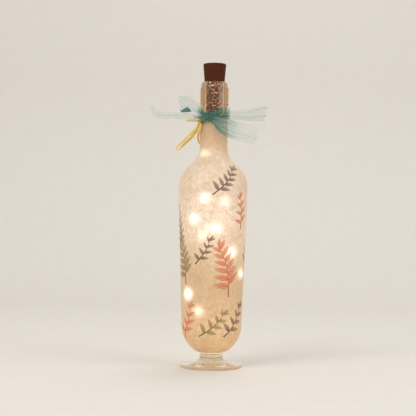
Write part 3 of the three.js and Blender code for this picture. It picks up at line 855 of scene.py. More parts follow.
def section_aims(chords, count, closed):
    """How a section's curve arrives at and leaves each point. A sharp turn has two aims, others one."""
    corner, even_ratio = math.radians(30), 2.5
    aims = []
    for i in range(count):
        if not closed and i in (0, count - 1):
            end = chords[0] if i == 0 else chords[-1]
            aims.append((end.normalized(), end.normalized()))
            continue
        back, on = chords[i - 1], chords[i % len(chords)]
        if back.angle(on) > corner:
            aims.append((back.normalized(), on.normalized()))
            continue
        longer = max(back, on, key=lambda c: c.length)
        even = longer.length < even_ratio * min(back.length, on.length)
        aim = (back.normalized() + on.normalized()).normalized() if even else longer.normalized()
        aims.append((aim, aim))
    return aims


def refined(section, closed, step):
    """The same section with its round stretches made smooth. Sharp turns stay sharp."""
    count = len(section)
    chords = [section[(i + 1) % count] - section[i] for i in range(count if closed else count - 1)]
    aims = section_aims(chords, count, closed)
    points = []
    for i, chord in enumerate(chords):
        start, end = section[i], section[(i + 1) % count]
        third = chord.length / 3
        leave, arrive = start + aims[i][1] * third, end - aims[(i + 1) % count][0] * third
        parts = max(1, round(chord.length / step))
        points += geometry.interpolate_bezier(start, leave, arrive, end, parts + 1)[:-1]
    if not closed:
        points.append(section[-1])
    return points


def turned(section, closed, steps, mesh=None):
    """A mesh spun about the bottle's axis from its section."""
    mesh = mesh or bmesh.new()
    verts = [mesh.verts.new((max(r, 0.0), 0.0, z)) for r, z in section]
    pairs = list(zip(verts, verts[1:])) + ([(verts[-1], verts[0])] if closed else [])
    edges = [mesh.edges.new(pair) for pair in pairs]
    bmesh.ops.spin(
        mesh, geom=verts + edges, cent=(0, 0, 0), axis=UP, angle=2 * math.pi, steps=steps, use_merge=True
    )
    weld(mesh)
    face_out(mesh)
    mesh.normal_update()
    return mesh


def beaded(section, beads):
    """An open section with a fine raised line at each of the beads' [radius, height] on it."""
    size, reach = 0.2 * MM, 0.7 * MM
    points = []
    for start, end in zip(section, section[1:]):
        close = any(min((start - b).length, (end - b).length) < 8 * reach for b in beads)
        parts = math.ceil((end - start).length / (reach / 2)) if close else 1
        points += [start.lerp(end, k / parts) for k in range(parts)]
    points.append(section[-1])
    lifts = [sum(bell((p - b).length / reach) for b in beads) for p in points]
    return [p + Vector((size * lift, 0)) for p, lift in zip(points, lifts)]


def turned_piece(name, node, material, body, step, steps, bevel=0.0, beads=()):
    """A smooth piece in place of a turned node, with its sharp edges eased."""
    eased_over = math.radians(50)
    section, closed = section_of(node)
    fine = refined(section, closed, step * MM)
    mesh = turned(beaded(fine, beads) if beads else fine, closed, steps)
    if bevel:
        sharp = [e for e in mesh.edges if e.calc_face_angle(0.0) > eased_over]
        bmesh.ops.bevel(
            mesh, geom=sharp, offset=bevel * MM, affect="EDGES", segments=2, profile=0.5, material=-1,
            clamp_overlap=True,
        )
    return piece(mesh, name, material, body, (node,))


class Skin:
    """The paper's outer face: where a point of it lies and how much light reaches it."""

    spot_spread = 3.3 * MM
    spot_depth = 6.5 * MM
    halo_light = 0.055
    halo_reach = 13 * MM
    wide_reach = 42 * MM
    inside_light = 3.2
    inside_pale = 2.9
    bottom_light = 3.9
    bottom_reach = 90 * MM
    shoulder_light = 0.4
    shoulder_height = 202 * MM
    shoulder_reach = 26 * MM
    patch_light = 1.6
    patch_place = Vector((16, -27, 54)) * MM
    patch_reach = 13 * MM
    amber_height = 75 * MM
    pale_height = 170 * MM
    neck_height = 212 * MM
    neck_top = 240 * MM
    neck_amber = 0.8
    crease_drawn_up = 0.6
    ridge_waves = 62
    ridge_sharpness = 7
    ridge_share = 0.65
    gap_waves = 41
    swell_waves = 30

    def __init__(self, crease):
        section, self.closed = section_of("paper_skin")
        self.section = refined(section, self.closed, 1.8 * MM)
        self.crease = crease

    def radius(self, height):
        """The widest radius of the section at a height."""
        crossing = []
        for a, b in zip(self.section, self.section[1:] + self.section[:1]):
            if min(a.y, b.y) <= height < max(a.y, b.y):
                crossing.append(lerp(a.x, b.x, (height - a.y) / (b.y - a.y)))
        return max(crossing)

    def crease_at(self, point):
        """Thin broken ridges and soft swells that pasted paper dries with."""
        spot = Vector((point.x, point.y, point.z * self.crease_drawn_up))
        ridge = max(0.0, 1 - abs(noise.noise(spot * self.ridge_waves)) * self.ridge_sharpness) ** 2
        broken = smooth(-0.1, 0.4, noise.noise(spot * self.gap_waves + UP * 3))
        swell = 0.5 + 0.5 * noise.noise(spot * self.swell_waves + UP * 7)
        return self.crease * lerp(swell, ridge * broken, self.ridge_share)

    def point(self, turn, height, lift):
        flat = polar(turn, self.radius(height), height)
        return flat + level(flat).normalized() * (self.crease_at(flat) + lift)

    def light(self, mesh):
        """Writes how much painted light each point gets, from right behind it and from all round, with
        painted glow and paleness added by height and place.
        """
        spots = layers(mesh, *LIGHT_LAYERS)
        for vert in mesh.verts:
            height = vert.co.z
            far = [(vert.co - place).length_squared for place in LIGHT_PLACES]
            near = wide = 0.0
            for away, share in zip(far, LIGHT_SHARES):
                near += share * math.exp((self.spot_depth**2 - away) / (2 * self.spot_spread**2))
                near += share * self.halo_light * (1 + away / self.halo_reach**2) ** -2
                wide += (1 + away / self.wide_reach**2) ** -2
            # Painted glow that no light gives: more towards the bottom, a band at the shoulder for room
            # light falling from above, and one bright patch.
            wide += self.bottom_light * (1 - smooth(0.0, self.bottom_reach, height))
            wide += self.shoulder_light * bell((height - self.shoulder_height) / self.shoulder_reach)
            wide += self.patch_light * bell((vert.co - self.patch_place).length / self.patch_reach)
            # Painted light: the paper is painted paler higher up, and amber again towards the neck.
            pale = smooth(self.amber_height, self.pale_height, height)
            pale *= 1 - self.neck_amber * smooth(self.neck_height, self.neck_top, height)
            mark(vert, spots, (near, wide, pale))


def make_skin(skin, material):
    """The paper round the bottle. Its inner wall shows only through the foot, and glows more."""
    mesh, (_, wide, pale) = new_mesh(*LIGHT_LAYERS)
    turned(skin.section, skin.closed, 144, mesh)
    moves = [level(vert.co).normalized() * skin.crease_at(vert.co) for vert in mesh.verts]
    for vert, move in zip(mesh.verts, moves):
        vert.co += move
    skin.light(mesh)
    for vert in mesh.verts:
        if vert.normal.dot(level(vert.co)) < 0:
            vert[wide] *= skin.inside_light
            vert[pale] = skin.inside_pale
    return piece(mesh, "paper_wrap", material, "bottle", ("paper_skin",), 60)


def lay_flat(vert, skin, sprig, flat, lift):
    """Moves a point of a sprig's flat drawing in millimetres onto the skin."""
    turn, height, lean = sprig
    side, rise = Matrix.Rotation(-lean, 2) @ flat
    up = (height + rise) * MM
    around = math.degrees(side * MM / skin.radius(up))
    vert.co = skin.point(turn + around, up, lift)


def add_leaf(mesh, skin, sprig, root, direction, size):
    """One leaf of a sprig, from its root, in the sprig's own flat millimetres."""
    half, end_half, bow, lift = size * 0.19, 0.06, 0.16, 0.07 * MM
    spots = layers(mesh, *PRINT_LAYERS)
    tip = Vector((math.sin(direction), math.cos(direction)))
    aside = Vector((tip.y, -tip.x))
    tint = noise.noise(Vector((*root, size)) * 0.37) * 0.5 + 0.5
    for vert in grid(mesh, 14, 8):
        along, across = (vert.co.x + 1) / 2, vert.co.y
        wide = half * math.sin(math.pi * along**0.75) ** 0.8 if 0 < along < 1 else end_half
        bend = bow * size * along**2
        flat = root + tip * (size * along) + aside * (across * wide + bend * math.copysign(1, direction))
        rim = max(abs(across), abs(2 * along - 1) ** 6)
        mark(vert, spots, (rim, along, across, tint))
        lay_flat(vert, skin, sprig, flat, lift)


def add_sprig(mesh, skin, turn, height, lean, size, pairs):
    """A curved stem with leaves in pairs that grow smaller towards its tip."""
    sprig = (turn, height, math.radians(lean))
    lift = 0.05 * MM

    def stem_at(share):
        return Vector((size * 0.16 * math.sin(2.2 * share), size * (share - 0.35)))

    rim = layers(mesh, "rim")[0]
    low_half, high_half = 0.75, 0.25
    for vert in grid(mesh, 26, 4):
        share, across = (vert.co.x + 1) / 2, vert.co.y
        flat = stem_at(share) + Vector((across * lerp(low_half, high_half, share), 0))
        vert[rim] = abs(across) * 0.98
        lay_flat(vert, skin, sprig, flat, lift)
    for k in range(pairs):
        share = lerp(0.22, 0.92, k / (pairs - 1))
        leaf = lerp(0.34, 0.2, share) * size
        for side in (-1, 1):
            root = stem_at(min(share + 0.03 * side, 0.98))
            add_leaf(mesh, skin, sprig, root, side * lerp(1.05, 0.6, share), leaf)
    add_leaf(mesh, skin, sprig, stem_at(0.97), 0.12, 0.2 * size)


def make_prints(skin, colours):
    """The sprigs of each ink, as thin prints on the skin."""
    for ink in ("coral", "olive", "plum"):
        mesh = new_mesh(*LIGHT_LAYERS, *PRINT_LAYERS)[0]
        for row in SPRIGS:
            if row[0] == ink:
                add_sprig(mesh, skin, *row[1:])
        skin.light(mesh)
        face_out(mesh)
        material = printed_ink(f"{ink}_ink", getattr(colours, ink), colours)
        piece(mesh, f"sprigs_{ink}", material, "bottle")


def make_foil(depth, material):
    """Foil crumpled into sharp little facets round the battery tube."""
    facets, ripples, wall, deepest, flat_from = 430, 420, 0.1 * MM, -0.9, 0.6
    section, closed = section_of("barrel_foil")
    inner = min(p.x for p in section)
    mesh = turned(refined(section, closed, 0.5 * MM), closed, 128)
    for vert in mesh.verts:
        reach = level(vert.co)
        if reach.length < inner + wall:
            continue
        near = noise.voronoi(vert.co * facets)[0]
        fold = min(near[1] - near[0], flat_from) / flat_from - 0.55
        crumple = fold * 0.8 + 0.5 * noise.noise(vert.co * ripples)
        vert.co += reach.normalized() * (depth * max(crumple, deepest))
    return piece(mesh, "foil_wrap", material, "stopper", ("barrel_foil",), 24)


def strip_place(turn, outside, above):
    """A place by its turn, and how far it is outside the band and above the bow."""
    return polar(turn, (BAND_OUTER + outside) * MM, (BOW + above) * MM)


KNOT_CENTRE = strip_place(KNOT_TURN, SEAT_GAP + KNOT_HALF_OUT, -KNOT_DROP)
KNOT_OUT = polar(KNOT_TURN, 1, 0)
KNOT_ALONG = polar(KNOT_TURN + 90, 1, 0)
RAFFIA_KNOT = strip_place(RAFFIA_TURN, SEAT_GAP + RAFFIA_KNOT_RADIUS, -RAFFIA_KNOT_DROP)


def beside_knot(side, out, above):
    """A point beside the knot: side is 1 for its right and -1 for its left."""
    reach = (KNOT_HALF_ALONG + SEAT_GAP) * MM
    return KNOT_CENTRE + KNOT_ALONG * (side * reach) + KNOT_OUT * (out * MM) + UP * (above * MM)


def strip_rows(rows, ends):
    """Rows of a strip with its ends at the knot, each a place, a half width and a lean."""
    knot_half = 2
    middle = [
        Vector((*strip_place(turn, outside, above), half * MM, math.radians(lean)))
        for turn, outside, above, half, lean in rows
    ]
    close = [Vector((*end, knot_half * MM, 0)) for end in ends]
    return [close[0], *middle, *close[1:]]


def gather_depth(flat, width, pleats):
    """How deep even pleats are that draw cloth of a flat width in to a smaller one."""
    return math.sqrt(max((flat / (2 * pleats)) ** 2 - (width / (2 * pleats)) ** 2, 0.0)) / 2


def ribbon_piece(mesh, name, node, sizes, material):
    """A piece of the ribbon with its cloth's thickness."""
    made = piece(mesh, name, material, "bottle", (node,), 70)
    cloth = made.modifiers.new("cloth", "SOLIDIFY")
    cloth.thickness = sizes.ribbon_cloth
    cloth.offset = 0.0


class Strip:
    """A ribbon strip along its rows, in fine pleats at the knot that open into a few soft waves."""

    steps = 72
    across = 36
    pleats = 5
    waves = 2
    wave_length = 26 * MM
    tip_share = 0.14
    fold_at = 0.8
    fold_half = 0.22
    fold_density = 1.1
    open_from = 4 * MM
    open_to = 13 * MM
    open_density = 0.14

    def __init__(self, rows, width, phase, loops, cut=0.0, edge_fold=0.0):
        self.stations = flow(rows, self.steps)
        self.aims = tangents(self.stations)
        self.lengths = run_lengths(self.stations)
        self.width = width
        self.phase = phase
        self.loops = loops
        self.cut = cut
        self.edge_fold = edge_fold

    def share(self, i):
        """What is left of the flat width where the strip's end is cut to a point."""
        if not self.cut:
            return 1.0
        return min(1.0, self.tip_share + (self.lengths[-1] - self.lengths[i]) / self.cut)

    def gather(self, i):
        """How far the strip is drawn together, 1 at the knot and 0 where it lies open."""
        return 1 - smooth(1.8, 6.5, self.stations[i][3] / self.share(i) / MM)

    def density(self, i, v):
        """How closely the cloth lies: drawn together at the knot, and folded under along one edge."""
        fold = bell((v - math.copysign(self.fold_at, self.edge_fold)) / self.fold_half)
        reach = 1 - smooth(0.15, 1.0, self.lengths[i] / abs(self.edge_fold)) if self.edge_fold else 0.0
        off_knot = self.lengths[i]
        if self.loops:
            off_knot = min(off_knot, self.lengths[-1] - off_knot)
        opened = smooth(self.open_from, self.open_to, off_knot)
        drawn = self.gather(i) ** 1.4 * lerp(1.0, self.open_density, opened)
        return max(drawn, reach * (self.fold_density + fold * 0.4))

    def point(self, i, v, lift=0.0):
        aim = self.aims[i]
        half, lean = self.stations[i][3:]
        wide = (UP - aim * UP.dot(aim)).normalized()
        wide.rotate(Matrix.Rotation(lean, 3, aim))
        out = aim.cross(wide)
        gather = self.gather(i)
        flat = self.width * self.share(i)
        fine = gather_depth(flat, 2 * half, self.pleats) * lerp(0.04, 0.75, gather)
        soft = gather_depth(flat, 2 * half, self.waves) * (1 - gather) * 0.8
        swing = self.lengths[i] / self.wave_length + self.phase
        ripple = fine * math.cos(self.pleats * math.pi * v + 0.6 * swing)
        ripple += soft * math.sin(self.waves * math.pi * v + swing)
        return Vector(self.stations[i][:3]) + wide * (half * v) + out * (ripple + lift)

    def area(self):
        """The strip's area laid flat."""
        pairs = zip(self.lengths, self.lengths[1:])
        return sum(self.width * self.share(i) * (b - a) for i, (a, b) in enumerate(pairs))


def lay_strip(mesh, strip, first, last, reach, lift, density=None):
    """Lays a stretch of a strip's grid. Its width runs from the low edge up to what reach gives."""
    spots = layers(mesh, *CLOTH_LAYERS)
    for vert in grid(mesh, last - first, strip.across):
        share = (vert.co.x + 1) / 2
        i = first + round(share * (last - first))
        v = lerp(-1.0, reach(share), (vert.co.y + 1) / 2)
        mark(vert, spots, (v, strip.lengths[i], strip.density(i, v) if density is None else density))
        vert.co = strip.point(i, v, lift)


FLAP_HIGH = 0.74


def flap_reach(share):
    """The upper edge of a folded corner, as a height across its strip."""
    peak = 0.3
    rise = share / peak if share < peak else (1 - share) / (1 - peak)
    return -0.99 + FLAP_HIGH * max(rise, 0.015)


def make_strip(name, strip, sizes, material, flap=None):
    """A strip of the bow. A flap is a corner of it that is folded up over its front."""
    # The folded corner is marked densest: more opaque for its doubled cloth, and painted darker, partly as
    # shade in the fold.
    flap_density_and_shade = 1.7
    mesh = new_mesh(*CLOTH_LAYERS)[0]
    lay_strip(mesh, strip, 0, strip.steps, lambda share: 1.0, 0.0)
    long = strip.lengths[-1]
    if flap:
        first, last, lift = flap
        lay_strip(mesh, strip, first, last, flap_reach, lift, flap_density_and_shade)
        long += FLAP_HIGH / 4 * (strip.lengths[last] - strip.lengths[first])
    area = strip.area() if strip.cut else None
    shown = name.replace("ribbon", "bow")
    ribbon_piece(mesh, shown, name, sizes, material)


def make_knot(sizes, material):
    """The turn of ribbon that ties the bow, drawn in at its front and lying aslant."""
    pleats, slant, density = 5, math.radians(24), 1.35
    back_half, front_half, swell = 3 * MM, 2.3 * MM, 0.5 * MM
    round_out, round_up = 1.8 * MM, 3.4 * MM
    girth = 2 * math.pi * math.sqrt((round_out**2 + round_up**2) / 2)
    upward = UP * math.cos(slant) - KNOT_ALONG * math.sin(slant)
    aside = KNOT_ALONG * math.cos(slant) + UP * math.sin(slant)
    mesh, spots = new_mesh(*CLOTH_LAYERS)
    for vert in grid(mesh, 48, 30):
        turn, v = math.pi * vert.co.x, vert.co.y
        mark(vert, spots, (v, girth * (vert.co.x + 1) / 2, density))
        half = lerp(back_half, front_half, 0.5 + 0.5 * math.cos(turn))
        out = KNOT_OUT * math.cos(turn) + upward * (math.sin(turn) * 0.55)
        depth = gather_depth(sizes.ribbon_width, 2 * half, pleats) * 0.75
        ripple = depth * math.cos(pleats * math.pi * v + 0.8 * math.sin(turn)) + swell * (1 - v * v)
        ring = KNOT_OUT * (round_out * math.cos(turn)) + upward * (round_up * math.sin(turn))
        vert.co = KNOT_CENTRE + ring + aside * (half * v) + out.normalized() * ripple
    weld(mesh)
    ribbon_piece(mesh, "bow_knot", "ribbon_knot", sizes, material)


def make_band(sizes, material):
    """The ribbon's turn round the neck, in folds that are pressed flat under the knots."""
    pleats, half, fold = 4, 6, 0.75
    girth = 2 * math.pi * BAND_OUTER * MM
    mesh, spots = new_mesh(*CLOTH_LAYERS)
    for vert in grid(mesh, 128, 32):
        turn, v = 180 * vert.co.x, vert.co.y
        pressed = min(smooth(9, 24, abs(turn - knot)) for knot in (KNOT_TURN, RAFFIA_TURN))
        mark(vert, spots, (v, girth * (vert.co.x + 1) / 2, lerp(0.6, 0.42, pressed)))
        wave = 0.5 + 0.5 * math.cos(pleats * math.pi * v + 0.5 * math.sin(math.radians(3 * turn)))
        radius = BAND_INNER + 2 * fold * wave * lerp(0.25, 1.0, pressed)
        height = BOW + BAND_TILT * math.cos(math.radians(turn)) + half * v
        vert.co = polar(turn, radius * MM, height * MM)
    weld(mesh)
    ribbon_piece(mesh, "neck_ribbon", "ribbon_band", sizes, material)


def make_tube(points, wide, deep, sides, twist=0.0, taper=1.0, rough=0.0):
    """A closed strand along points, flat if wide and deep differ, with its side carried along the path."""
    taper_reach, rough_scale = 4 * MM, 300
    steps = len(points) - 1
    aims = tangents(points)
    lengths = run_lengths(points)
    side = aims[0].orthogonal().normalized()
    sides_at = []
    for aim in aims:
        side = (side - aim * side.dot(aim)).normalized()
        sides_at.append(side.copy())
    mesh, spots = new_mesh(*STRAND_LAYERS)
    for vert in grid(mesh, steps, sides):
        i = round((vert.co.x + 1) / 2 * steps)
        angle = math.pi * vert.co.y
        mark(vert, spots, (lengths[i], abs(vert.co.y)))
        first = Matrix.Rotation(twist * lengths[i], 3, aims[i]) @ sides_at[i]
        second = aims[i].cross(first)
        thin = lerp(taper, 1.0, smooth(0.0, taper_reach, lengths[-1] - lengths[i]))
        spot = Vector((lengths[i] * rough_scale, math.cos(angle), math.sin(angle)))
        size = thin * (1 + rough * noise.noise(spot)) / 2
        across = first * (math.cos(angle) * wide) + second * (math.sin(angle) * deep)
        vert.co = Vector(points[i][:3]) + across * size
    weld(mesh)
    bmesh.ops.holes_fill(mesh, edges=[e for e in mesh.edges if e.is_boundary], sides=0)
    face_out(mesh)
    return mesh


def raffia_piece(mesh, name, node, material):
    """A piece of the raffia in place of a node."""
    return piece(mesh, name, material, "bottle", (node,), 60)


def raffia_path(rows, closes, depth, steps):
    """The middle line of a strand that leaves the raffia knot, and comes back to it if it is a loop."""
    points = [strip_place(*row) for row in rows]
    reach = RAFFIA_KNOT_RADIUS * MM - depth / 4

    def off_knot(towards):
        return RAFFIA_KNOT + (towards - RAFFIA_KNOT).normalized() * reach

    ends = [off_knot(points[0]), *points]
    if closes:
        ends.append(off_knot(points[-1]))
    return flow(ends, steps)


def make_strands(sizes, material):
    """The raffia's loop and its two ends."""
    strands = (
        ("raffia_loop", RAFFIA_LOOP, True, 110),
        ("raffia_end_left", RAFFIA_END_LEFT, False, 40),
        ("raffia_end_down", RAFFIA_END_DOWN, False, 48),
    )
    twist, end_taper, rough = 60.0, 0.55, 0.16
    for name, rows, closes, steps in strands:
        path = raffia_path(rows, closes, sizes.raffia_depth, steps)
        taper = 1.0 if closes else end_taper
        mesh = make_tube(path, sizes.raffia_width, sizes.raffia_depth, 12, twist, taper, rough)
        made = raffia_piece(mesh, name.replace("raffia", "straw"), name, material)


def make_straw_knot(material):
    """The raffia's knot: one strand run over and under itself in three lobes."""
    reach, steps = 0.42 * MM, 72
    out, aside = polar(RAFFIA_TURN, 1, 0), polar(RAFFIA_TURN + 90, 1, 0)
    knot = []
    for k in range(steps + 1):
        a = 2 * math.pi * k / steps
        x, y, z = math.sin(a) + 2 * math.sin(2 * a), math.cos(a) - 2 * math.cos(2 * a), -math.sin(3 * a)
        knot.append(RAFFIA_KNOT + (aside * x + UP * y + out * z) * reach)
    mesh = make_tube(knot, 1.1 * MM, 0.8 * MM, 10, rough=0.1)
    raffia_piece(mesh, "straw_knot", "raffia_knot", material)


def make_straw_band(material):
    """The raffia's turn round the neck, under the ribbon."""
    radius, drop, waver, steps = 15.0, 1.5, 0.35, 96
    ring = []
    for k in range(steps + 1):
        turn = 360 * k / steps
        height = BOW - drop + BAND_TILT * math.cos(math.radians(turn))
        height += waver * math.sin(math.radians(5 * turn))
        ring.append(polar(turn, radius * MM, height * MM))
    mesh = make_tube(ring, 0.38 * MM, 2.9 * MM, 12)
    raffia_piece(mesh, "straw_band", "raffia_band", material)


def inner_line(inset):
    """The bottle's inner wall set inwards, as points [radius, height] from the bottom up."""
    section, closed = section_of("glass_bottle")
    fine = refined(section, closed, 3 * MM)
    top = max(range(len(fine)), key=lambda i: fine[i].y)
    wall = fine[top:]
    line = []
    for before, point, after in zip(wall, wall[1:], wall[2:]):
        aim = (after - before).normalized()
        line.append(point + Vector((aim.y, -aim.x)) * inset)
    return sorted(line, key=lambda p: p.y)


def line_radius(line, height):
    """The radius of a wall's line at a height."""
    i, share = held_in([p.y for p in line], height)
    return lerp(line[i].x, line[i + 1].x, share)


def lead_path(first_turn):
    """The lead from the stopper, coiled down the neck to the first light."""
    steps, coil_turns, coil_radius = 110, 3, 6.5 * MM
    top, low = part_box("string_lead")[1].z, LIGHT_PLACES[0]
    lead = []
    for k in range(steps):
        t = k / steps
        spread = coil_radius * smooth(0.08, 0.3, t)
        radius = lerp(spread, level(low).length, smooth(0.7, 1.0, t))
        lead.append(polar(first_turn - 360 * coil_turns * (1 - t), radius, lerp(top, low.z, t)))
    return lead


def string_path():
    """The wire from the stopper, down the neck and then from light to light along the wall."""
    bead_inset, point_every, steps = 2.3 * MM, 15, 700
    line = inner_line(bead_inset)
    turns = []
    for place in LIGHT_PLACES:
        turn = math.degrees(math.atan2(place.y, place.x))
        turns.append(turns[-1] + (turn - turns[-1]) % 360 if turns else turn)
    points = lead_path(turns[0])
    points.append(LIGHT_PLACES[0])
    for i in range(1, len(LIGHT_PLACES)):
        parts = math.ceil((turns[i] - turns[i - 1]) / point_every)
        for k in range(1, parts):
            height = lerp(LIGHT_PLACES[i - 1].z, LIGHT_PLACES[i].z, k / parts)
            points.append(polar(lerp(turns[i - 1], turns[i], k / parts), line_radius(line, height), height))
        points.append(LIGHT_PLACES[i])
    return flow(points, steps, 4)


def set_camera(scene, sizes):
    """Sets the camera at the photo's viewing angle. The picture and its focal length are in pixels."""
    picture, focal, roll = 416, 1059, math.radians(0.76)
    camera = bpy.data.cameras.new("camera")
    camera.angle = 2 * math.atan(picture / 2 / focal)
    pitch = math.atan2(sizes.aim_height - sizes.eye_height, sizes.eye_distance)
    look = Matrix.Rotation(math.pi / 2 + pitch, 4, "X") @ Matrix.Rotation(roll, 4, "Z")
    stand = Matrix.Translation((-sizes.aim_aside, -sizes.eye_distance, sizes.eye_height))
    scene.camera = added("camera", camera)
    scene.camera.matrix_world = stand @ look


def add_studio_lamps():
    """Adds soft lamps that face the middle of the bottle."""
    middle = Vector((0, 0, 0.15))
    for name, place, size, power, tint in STUDIO_LAMPS:
        lamp = bpy.data.lights.new(name, "AREA")
        lamp.size = size
        lamp.energy = power
        lamp.color = tint
        turn = (middle - Vector(place)).to_track_quat("-Z", "Y").to_matrix().to_4x4()
        added(name, lamp).matrix_world = Matrix.Translation(place) @ turn


def add_sweep(material):
    """Adds the floor and the backdrop, joined by a round bend. The floor lies just under the foot."""
    bend, far, near, tall, half, drop = 0.5, 1.4, -2.6, 3.0, 4.0, 0.1 * MM
    parts = 12
    line = [(near, -drop)]
    for k in range(parts + 1):
        a = math.pi / 2 * k / parts
        line.append((far - bend + bend * math.sin(a), bend - bend * math.cos(a) - drop))
    line.append((far, tall))
    mesh = bmesh.new()
    verts = [mesh.verts.new((-half, y, z)) for y, z in line]
    edges = [mesh.edges.new(pair) for pair in zip(verts, verts[1:])]
    wide = bmesh.ops.extrude_edge_only(mesh, edges=edges)["geom"]
    moved = [part for part in wide if isinstance(part, bmesh.types.BMVert)]
    bmesh.ops.translate(mesh, vec=(2 * half, 0, 0), verts=moved)
    face_out(mesh)
    solid(mesh, "studio_sweep", material)


class LAMP_OT_stage(bpy.types.Operator):
    """Sets the camera, the soft lights, the floor and the backdrop"""

    bl_idname = "lamp.stage"
    bl_label = "Stage"

    def execute(self, context):
        scene = context.scene
        scene.view_settings.view_transform = "Standard"
        set_camera(scene, scene.lamp_sizes)
        add_studio_lamps()
        scene.world = soft_room(scene.lamp_colours)
        add_sweep(studio_grey(scene.lamp_colours))
        return {"FINISHED"}


class LAMP_OT_string(bpy.types.Operator):
    """Runs the light string from the stopper down the bottle, and lights its drops"""

    bl_idname = "lamp.string"
    bl_label = "Light string"

    def execute(self, context):
        wire = context.scene.lamp_sizes.wire
        path = string_path()
        mesh = make_tube(path, wire, wire, 8)
        metal = drawn_metal("enamelled_wire", paint(186, 124, 74), (1, 1, 0.2), 0.25)
        replaced = ("string_wire", "string_lead")
        made = piece(mesh, "light_string", metal, None, replaced, 60)
        low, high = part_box("string_lead")
        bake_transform(made, "stopper", "bottle", start=(0, 0, high.z), end=(0, 0, low.z))
        resin = lamp_resin()
        for name in LIGHTS:
            dress(name, resin)
        return {"FINISHED"}


class LAMP_OT_raffia(bpy.types.Operator):
    """Ties the raffia round the neck"""

    bl_idname = "lamp.raffia"
    bl_label = "Raffia"

    def execute(self, context):
        material = dyed_raffia(context.scene.lamp_colours)
        make_strands(context.scene.lamp_sizes, material)
        make_straw_knot(material)
        make_straw_band(material)
        return {"FINISHED"}


class LAMP_OT_glass(bpy.types.Operator):
    """Blows the bottle and presses its foot"""

    bl_idname = "lamp.glass"
    bl_label = "Bottle and foot"

    def execute(self, context):
        colours = context.scene.lamp_colours
        bottle = clear_glass("bottle_glass", colours.bottle_glass)
        foot = clear_glass("foot_glass", colours.glass)
        beads = [Vector((radius, MOUTH - down)) * MM for radius, down in LIP_LINES]
        turned_piece("bottle_glass", "glass_bottle", bottle, "bottle", 3.0, 128, 0.5, beads)
        turned_piece("foot_glass", "pedestal_foot", foot, "bottle", 1.0, 128)
        return {"FINISHED"}


class LAMP_OT_paper(bpy.types.Operator):
    """Wraps the bottle in rice paper and prints its sprigs"""

    bl_idname = "lamp.paper"
    bl_label = "Paper and sprigs"

    def execute(self, context):
        skin = Skin(context.scene.lamp_sizes.crease)
        make_skin(skin, rice_paper(context.scene.lamp_colours))
        make_prints(skin, context.scene.lamp_colours)
        return {"FINISHED"}


class LAMP_OT_stopper(bpy.types.Operator):
    """Makes the cork head, its cap and button, and the foil round the battery tube"""

    bl_idname = "lamp.stopper"
    bl_label = "Stopper"

    def execute(self, context):
        colours = context.scene.lamp_colours
        cork = pressed_cork(colours)
        brown = moulded_plastic("brown_plastic", paint(86, 52, 32))
        black = moulded_plastic("black_plastic", paint(38, 34, 31))
        turned_piece("cork_head", "stopper_head", cork, "stopper", 1.0, 96, 0.15)
        turned_piece("cell_cap", "battery_cap", brown, "battery_cap", 1.0, 64, 0.3)
        turned_piece("push_button", "switch_button", black, "switch_button", 0.5, 48)
        make_foil(context.scene.lamp_sizes.foil_crumple, crumpled_foil(colours))
        dress("battery_barrel", black)
        return {"FINISHED"}


class LAMP_OT_electrics(bpy.types.Operator):
    """Finishes the cells, contacts and board inside the stopper"""

    bl_idname = "lamp.electrics"
    bl_label = "Electrics"

    def execute(self, context):
        finishes = (
            (drawn_metal("cell_steel", paint(196, 198, 200), (1, 1, 0.1), 0.2), "button_cell_"),
            (drawn_metal("nickel", paint(206, 200, 188), (0.2, 1, 1), 0.22), "contact_"),
            (board_lacquer(), "circuit_board"),
            (moulded_plastic("switch_plastic", paint(34, 32, 31)), "switch_body"),
            (moulded_plastic("chip_body", paint(46, 44, 43)), "chip_resistor"),
            (gland_rubber(), "wire_gland"),
        )
        for material, start in finishes:
            for name in NODES:
                if name.startswith(start):
                    dress(name, material)
        return {"FINISHED"}


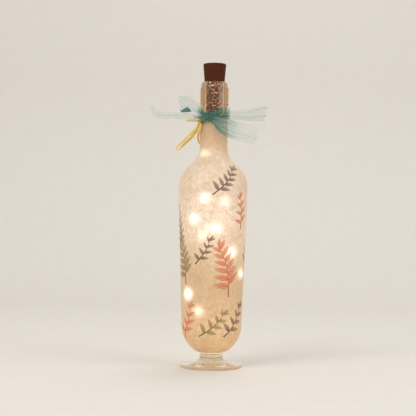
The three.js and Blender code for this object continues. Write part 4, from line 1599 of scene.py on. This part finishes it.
class LAMP_OT_ribbon(bpy.types.Operator):
    """Ties the sheer ribbon: its turn round the neck, its knot, two loops and two tails"""

    bl_idname = "lamp.ribbon"
    bl_label = "Ribbon"

    def execute(self, context):
        sizes = context.scene.lamp_sizes
        material = organza(context.scene.lamp_colours, sizes.ribbon_width)
        make_band(sizes, material)
        make_knot(sizes, material)
        loop_front, loop_back = 1, -1.6
        flap = (16, 35, 0.45 * MM)
        folded = {"phase": 3.1, "loops": False, "edge_fold": -40 * MM}
        pointed = {"phase": 4.6, "loops": False, "cut": 14 * MM}
        strips = (
            ("ribbon_loop_right", LOOP_RIGHT, 1, 1.6, {"phase": 0.4, "loops": True}, None),
            ("ribbon_loop_left", LOOP_LEFT, -1, 3.2, {"phase": 1.9, "loops": True}, flap),
            ("ribbon_tail_right", TAIL_RIGHT, 1, -3.2, folded, None),
            ("ribbon_tail_left", TAIL_LEFT, -1, -1.6, pointed, None),
        )
        for name, rows, side, up, shape, corner in strips:
            outs = (loop_front, loop_back) if shape["loops"] else (0,)
            ends = [beside_knot(side, out, up) for out in outs]
            strip = Strip(strip_rows(rows, ends), sizes.ribbon_width, **shape)
            make_strip(name, strip, sizes, material, corner)
        return {"FINISHED"}


OPERATORS = (
    LAMP_OT_stage,
    LAMP_OT_string,
    LAMP_OT_raffia,
    LAMP_OT_glass,
    LAMP_OT_paper,
    LAMP_OT_stopper,
    LAMP_OT_electrics,
    LAMP_OT_ribbon,
)


class LAMP_PT_panel(bpy.types.Panel):
    """Lists the steps that dress the lamp"""

    bl_label = "Bottle lamp"
    bl_idname = "LAMP_PT_panel"
    bl_space_type = "VIEW_3D"
    bl_region_type = "UI"
    bl_category = "Bottle lamp"

    def draw(self, context):
        for operator in OPERATORS:
            self.layout.operator(operator.bl_idname)
        for group in (context.scene.lamp_sizes, context.scene.lamp_colours):
            for name in group.bl_rna.properties.keys():
                if name not in ("rna_type", "name"):
                    self.layout.prop(group, name)


CLASSES = (LampSizes, LampColours, *OPERATORS, LAMP_PT_panel)


def register():
    for made in CLASSES:
        bpy.utils.register_class(made)
    bpy.types.Scene.lamp_sizes = PointerProperty(type=LampSizes)
    bpy.types.Scene.lamp_colours = PointerProperty(type=LampColours)


def unregister():
    del bpy.types.Scene.lamp_colours
    del bpy.types.Scene.lamp_sizes
    for made in reversed(CLASSES):
        bpy.utils.unregister_class(made)


def main():
    register()
    for operator in OPERATORS:
        group, step = operator.bl_idname.split(".")
        getattr(getattr(bpy.ops, group), step)()


if __name__ == "__main__":
    main()
